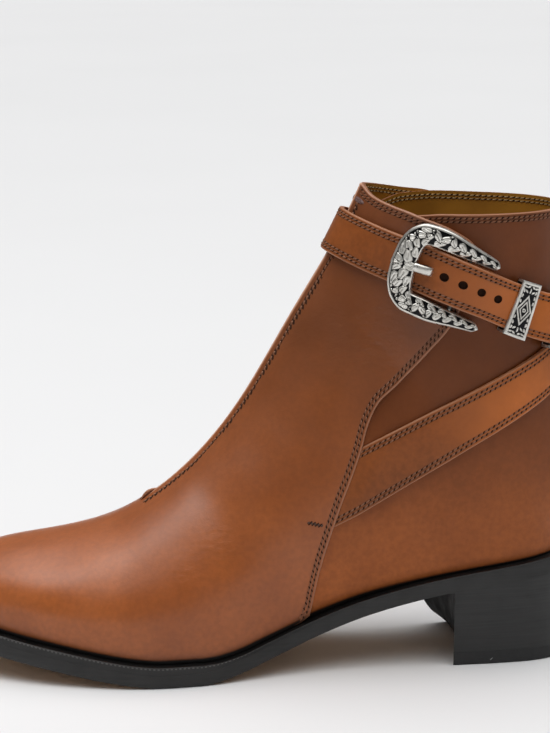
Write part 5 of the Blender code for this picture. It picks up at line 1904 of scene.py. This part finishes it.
def make_keeper(number, along):
    """A metal loop round both straps, with diamonds and a ring in relief on its plate."""
    low = float(buckle_lift(along)) - FIT - KEEPER_BASE
    high = float(long_lift(along)) + STRAP_THICK + LAYER_FIT
    half = KEEPER_INSIDE / 2
    wide = half + KEEPER_PLATE
    top = high + KEEPER_PLATE
    wall = top - KEEPER_WALL_DROP
    piece = Piece()
    for left, right, bottom, roof in ((-wide, -half, low, wall), (half, wide, low, wall),
                                      (-wide, wide, low, low + KEEPER_BASE)):
        across = np.linspace(left, right, 14)
        upper = np.stack([across, np.full(14, roof)], -1)
        lower = np.stack([across[::-1], np.full(14, bottom)], -1)
        ring = np.concatenate([upper, lower])
        centre = ring.mean(0)
        rings = []
        for place, less in KEEPER_ENDS:
            slim = centre + (ring - centre) * (1 - less)
            rings.append(HARDWARE.at(along + KEEPER_LONG / 2 * place, slim[:, 0], slim[:, 1]))
        # the walls and base are painted dark as shade
        piece.tube(np.stack(rings), relief=KEEPER_WALL_SHADE)
    a = np.linspace(-KEEPER_LONG / 2, KEEPER_LONG / 2, 71)[:, None]
    c = np.linspace(-wide, wide, 171)[None, :]
    a, c = np.broadcast_arrays(a, c)
    edge = np.minimum(KEEPER_LONG / 2 - np.abs(a), wide - np.abs(c))
    field = smooth_step(edge, KEEPER_RIM, KEEPER_RIM + RIM_SLOPE)
    line = keeper_relief(a, c)
    crown = KEEPER_CROWN * (1 - (2 * a / KEEPER_LONG) ** 2)
    drop = KEEPER_EDGE_DROP + rolled(edge, METAL_ROUND) + field * KEEPER_DEPTH * (1 - line)
    over = HARDWARE.at(along + a, c, top + crown - drop)
    under = HARDWARE.at(along + a, c, high + KEEPER_CLEAR)
    piece.grid(over, relief=field * fade_out(line, 0.2, 0.75))
    piece.grid(under)
    piece.rim(over, under, "left right start end")
    piece.make(f"keeper_{number}_metal", [SILVER], [f"keeper_{number}"])


def sole_angles(count):
    """Angles round one side of the sole, closer together under the ball and the arch."""
    even = math.pi * np.linspace(0, 1, count)
    return even + 0.17 * np.sin(2 * even)


def edge_ring(count, inset, lift):
    """A closed line round the sole at a distance from its edge and a lift from its tread."""
    angle = sole_angles(count)
    flat = np.concatenate([plan(angle, OUTER, inset), plan(angle[-2:0:-1], INNER, inset)])
    return sole_point(flat, lift)


def sole_rings(count, profile):
    return np.stack([edge_ring(count, inset, lift) for inset, lift in profile])


def sole_sheet(angle, inset, lift, columns):
    """A grid across the sole, from its outer edge to its inner edge."""
    across = np.linspace(0, 1, columns)[None, :, None]
    outer, inner = plan(angle, OUTER, inset), plan(angle, INNER, inset)
    return sole_point(outer[:, None] * (1 - across) + inner[:, None] * across, lift)


def make_outsole():
    """The outsole, rounded under its edge and square where the heel meets it."""
    count = 260
    piece = Piece()
    rings = sole_rings(count, OUTSOLE_PROFILE)
    square = smooth_step(rings[:3, :, :1], *SQUARE_FADE)
    rings[:3] += (sole_rings(count, HEEL_PROFILE) - rings[:3]) * square
    piece.grid(rings, loop=True)
    angle = sole_angles(count)
    piece.grid(sole_sheet(angle, OUTSOLE_PROFILE[0][0], 0.0, columns=9), 1)
    piece.grid(sole_sheet(angle, OUTSOLE_PROFILE[-1][0], OUTSOLE_THICK, columns=9))
    piece.make("outsole_leather", [SOLE_EDGE, SOLE_TREAD], ["outsole"])


def make_welt():
    """The welt, thinner at the waist and heel, with fine wheel marks round the fore part of its edge and
    painted shade on its top.
    """
    piece = Piece()
    top = OUTSOLE_THICK + FIT + WELT_THICK
    low = [(inset, OUTSOLE_THICK + rise) for inset, rise in WELT_LOW]
    profile = low + [(inset, top - drop) for inset, drop in WELT_HIGH]
    rings = sole_rings(2000, profile)
    rise = np.array([lift - OUTSOLE_THICK for inset, lift in profile])[:, None]
    rings[..., 2] -= rise / (top - OUTSOLE_THICK) * seat_sink(rings[..., 0])
    line = rings[WHEEL_RINGS.start]
    fore = fade_out(line[:, 0], *WHEEL_FADE)
    relief = np.zeros(rings.shape[:2])
    wave = np.cos(2 * math.pi * distance(line) / WHEEL_PITCH)
    relief[WHEEL_RINGS] = fore * np.clip(WHEEL_LEVEL + WHEEL_STEEP * wave, 0, 1)
    # the welt's top, above the wheel marks, is marked for painted shade
    tone = np.zeros(rings.shape[:2])
    tone[WHEEL_RINGS.stop:] = 1.0
    piece.grid(rings, loop=True, relief=relief, tone=tone)
    piece.grid(rings[[-1, 0]], loop=True)
    piece.make("welt_leather", [WELT_BLACK], ["welt"])


def make_insole():
    piece = Piece()
    angle = sole_angles(120)
    away = seat_inset(SOLE_HALF * np.cos(angle)) + WALL + INSOLE_FIT
    rims = []
    for lift, inset in ((SEAT_LIFT, 0.0), (SEAT_LIFT + INSOLE_THICK, INSOLE_SLOPE)):
        grid = sole_sheet(angle, away + inset, lift, columns=13)
        piece.grid(grid)
        rims.append(np.concatenate([grid[:, 0], grid[-2:0:-1, -1]]))
    piece.grid(np.stack(rims), loop=True)
    piece.make("insole_sock", [SOCK], ["insole"])


def heel_ring(inset, z, breast=41):
    """The plan of the heel at one level: round the back, then along the hollow breast, whose inner
    corner sweeps forwards as it rises."""
    cut = INNER_CORNER_BACK - INNER_CORNER_SWEEP * (1 - math.exp(-z / INNER_CORNER_RISE))
    sides = []
    for side, start in ((OUTER, BREAST_X), (INNER, BREAST_X + cut)):
        angles = np.linspace(math.acos(start / SOLE_HALF), 0, (HEEL_BACK + 1) // 2)
        sides.append(plan(angles, side, inset))
        sides[-1][0, 0] = start
    ring = np.concatenate([sides[0], sides[1][-2::-1]])
    t = np.linspace(0, 1, breast)[1:-1, None]
    line = ring[-1] * (1 - t) + ring[0] * t
    line[:, :1] += BREAST_HOLLOW * 4 * t * (1 - t)
    return np.concatenate([ring, line])


def make_heel():
    """The stacked heel with a fine line at every layer."""
    low = TOP_LIFT_THICK + HEEL_JOINT
    levels = [0.0]
    for k in range(HEEL_LIFTS):
        levels.extend((np.array(LAYER_STEPS) + k) / HEEL_LIFTS)
    rings = []
    for t in levels:
        layer = t * HEEL_LIFTS % 1.0
        nick = LAYER_NICK * fade_out(np.minimum(layer, 1 - layer), 0.0, LAYER_HALF)
        inset = HEEL_FLOOR_INSET * (1 - t) + HEEL_JOINT * t + nick
        flat = heel_ring(inset, low + t * (tread(BREAST_X) - low))
        seat = tread(flat[:, 0]) - HEEL_JOINT
        rings.append(np.column_stack([flat, low + t * (seat - low)]))
    rings = np.stack(rings)
    piece = Piece()
    piece.grid(rings[:, :HEEL_BACK])
    # the breast takes the darker copy of the black, painted shade
    piece.grid(np.concatenate([rings[:, HEEL_BACK - 1:], rings[:, :1]], axis=1), 1)
    piece.cap(rings[0])
    piece.cap(rings[-1])
    piece.make("heel_stack_leather", [STACK_BLACK, BREAST_SHADE_BLACK], ["heel_stack"])


def make_top_lift():
    piece = Piece()
    rings = []
    for inset, z in LIFT_PROFILE:
        flat = heel_ring(HEEL_FLOOR_INSET + inset, z)
        rings.append(np.column_stack([flat, np.full(len(flat), z)]))
    piece.tube(np.stack(rings))
    piece.make("top_lift_rubber", [RUBBER], ["top_lift"])


def make_back_seam():
    """The covered seam down the back: a raised strip."""
    top = climb(np.array([0.0]), OUTER, lambda points: points[..., 2] - BACK_SEAM_TOP, SHAFT_ROW)
    rows = np.linspace(HEEL_ROW + 0.05, float(top[0]), 140)
    base = surface(rows, 0.0, OUTER)[:, None]
    out = unit(surface(rows, 0.0, OUTER, 1.0)[:, None] - base)
    turn = np.linspace(-1, 1, 15)[None, :, None]
    across = np.array((0.0, BACK_SEAM_HALF, 0.0))
    upper = base + out * BACK_SEAM_RISE * np.sqrt(1 - np.abs(turn) ** 3) + across * turn
    lower = base - out * BACK_SEAM_SINK + across * turn[:, ::-1]
    piece = Piece()
    piece.tube(np.concatenate([upper, lower], axis=1))
    piece.make("back_seam", [TAN])


def make_throat():
    """The small open loop at the foot of the front seam: a pale bead that stands off a slit painted dark as
    shade.
    """
    t = np.linspace(0, 1, 40)
    rows = THROAT_ROW + THROAT_START + THROAT_LONG * t
    stand = FLAP_LIFT + THROAT_STAND + THROAT_RISE * np.sin(math.pi * t) ** 0.8
    side = np.array((0.0, 1.0, 0.0))
    spine = last_point(rows, 1.0, OUTER, stand) - THROAT_SIDE * side
    base = last_point(rows, 1.0, OUTER, FLAP_LIFT - THROAT_SINK) - THROAT_SIDE * side
    turn = circle(12)[None, :, None]
    thick = THROAT_BEAD * (0.3 + 0.7 * np.sin(math.pi * t))[:, None, None]
    ring = unit(spine - base)[:, None] * np.cos(turn) + side * np.sin(turn)
    piece = Piece()
    piece.tube(spine[:, None] + thick * ring, cut=1.0)
    slit = THROAT_SLIT * side
    # the slit is painted dark as shade
    piece.tube(np.stack([base + slit, spine + slit, spine - slit, base - slit], 1), groove=1.6)
    piece.make("throat_loop", [TAN_FRONT], merge=0.0)


def make_top_tack():
    """A dense oval of thread on the outer flap."""
    x, z, long, wide, lean = TOP_TACK
    turn = circle(32)
    cos, sin = cos_sin(lean)
    rings = []
    for share, rise in TACK_RINGS:
        a, b = share * long * np.cos(turn), share * wide * np.sin(turn)
        u, q = fan_place(np.stack([x + a * cos - b * sin, z + a * sin + b * cos], -1), OUTER)
        ridges = TACK_RIDGE * np.cos(2 * math.pi * a / TACK_PITCH) * (share < 0.95)
        rings.append(surface(u, q, OUTER, FLAP_LIFT + rise + ridges))
    piece = Piece()
    piece.tube(np.stack(rings))
    piece.make("top_bartack", [MAUVE_THREAD], merge=0.0)


def make_side_tack():
    """A tight row of slanted stitches that holds the strap's end behind the flap."""
    u, q = fan_place(np.linspace(*np.array(SIDE_TACK), 9), OUTER)
    line = surface(u, q, OUTER, FLAP_LIFT)
    up = unit(surface(u, q, OUTER, FLAP_LIFT + 1.0) - line)
    piece = Piece()
    sew(piece, line, up, **SIDE_TACK_SEWN)
    piece.make_thread("side_bartack", BROWN_THREAD)


def add_object(name, data, place=(0.0, 0.0, 0.0), turn=(0.0, 0.0, 0.0)):
    body = bpy.data.objects.new(name, data)
    body.location = place
    body.rotation_euler = turn
    bpy.context.scene.collection.objects.link(body)
    return body


def make_lamp():
    """A soft square lamp above the toe."""
    light = bpy.data.lights.new("key", "AREA")
    light.shape = "RECTANGLE"
    light.size = KEY_SIZE
    light.size_y = KEY_SIZE
    light.energy = KEY_POWER
    x, y, z = np.array(KEY_TARGET) - np.array(KEY_PLACE)
    turn = (math.atan2(math.hypot(x, y), -z), 0.0, math.atan2(y, x) - math.pi / 2)
    add_object("key", light, KEY_PLACE, turn)


def make_camera():
    camera = bpy.data.cameras.new("camera")
    camera.lens = CAMERA_LENS
    camera.sensor_width = CAMERA_SENSOR
    camera.sensor_height = CAMERA_SENSOR
    turn = (math.radians(CAMERA_TILT), 0.0, math.radians(CAMERA_TURN))
    bpy.context.scene.camera = add_object("camera", camera, CAMERA_PLACE, turn)


def make_floor():
    mesh = bpy.data.meshes.new("floor")
    corners = [(x * FLOOR_HALF, y * FLOOR_HALF, 0) for x, y in ((-1, -1), (1, -1), (1, 1), (-1, 1))]
    mesh.from_pydata(corners, [], [(0, 1, 2, 3)])
    look = Look("pale_floor", 0.8, specular=0.2)
    cloud = look.span(look.noise(scale=3.0, detail=2.0), 0.3, 0.7)
    mesh.materials.append(look.done(colour=look.mix(cloud, FLOOR_LIGHT, FLOOR_DARK)))
    add_object("floor", mesh)


def make_sky():
    """Soft light from overhead that fades towards a dim horizon."""
    world = bpy.data.worlds.new("studio")
    world.use_nodes = True
    tree = world.node_tree
    sky = tree.nodes["Background"]
    sky.inputs["Color"].default_value = (1.0, 1.0, 1.0, 1.0)
    way = tree.nodes.new("ShaderNodeSeparateXYZ")
    tree.links.new(tree.nodes.new("ShaderNodeTexCoord").outputs["Generated"], way.inputs["Vector"])
    height = tree.nodes.new("ShaderNodeMapRange")
    height.interpolation_type = "SMOOTHSTEP"
    for key, number in zip(("From Min", "From Max", "To Min", "To Max"), (*SKY_FADE, *SKY_LIGHT)):
        height.inputs[key].default_value = number
    tree.links.new(way.outputs["Z"], height.inputs["Value"])
    tree.links.new(height.outputs["Result"], sky.inputs["Strength"])
    bpy.context.scene.world = world


make_quarters()
make_vamp()
make_inner_flap()
make_long_strap()
make_buckle_strap()
make_buckle()
make_prong()
for number, place in enumerate(KEEPERS, 1):
    make_keeper(number, place)
make_outsole()
make_welt()
make_insole()
make_heel()
make_top_lift()
make_back_seam()
make_throat()
make_top_tack()
make_side_tack()
UPPER_SEWN.make_thread("upper_stitches", THREAD)
LINING_SEWN.make_thread("lining_stitches", PALE_THREAD)
STRAP_SEWN.make_thread("strap_stitches", THREAD)
bpy.context.scene.view_settings.view_transform = "Standard"
make_camera()
make_floor()
make_sky()
make_lamp()
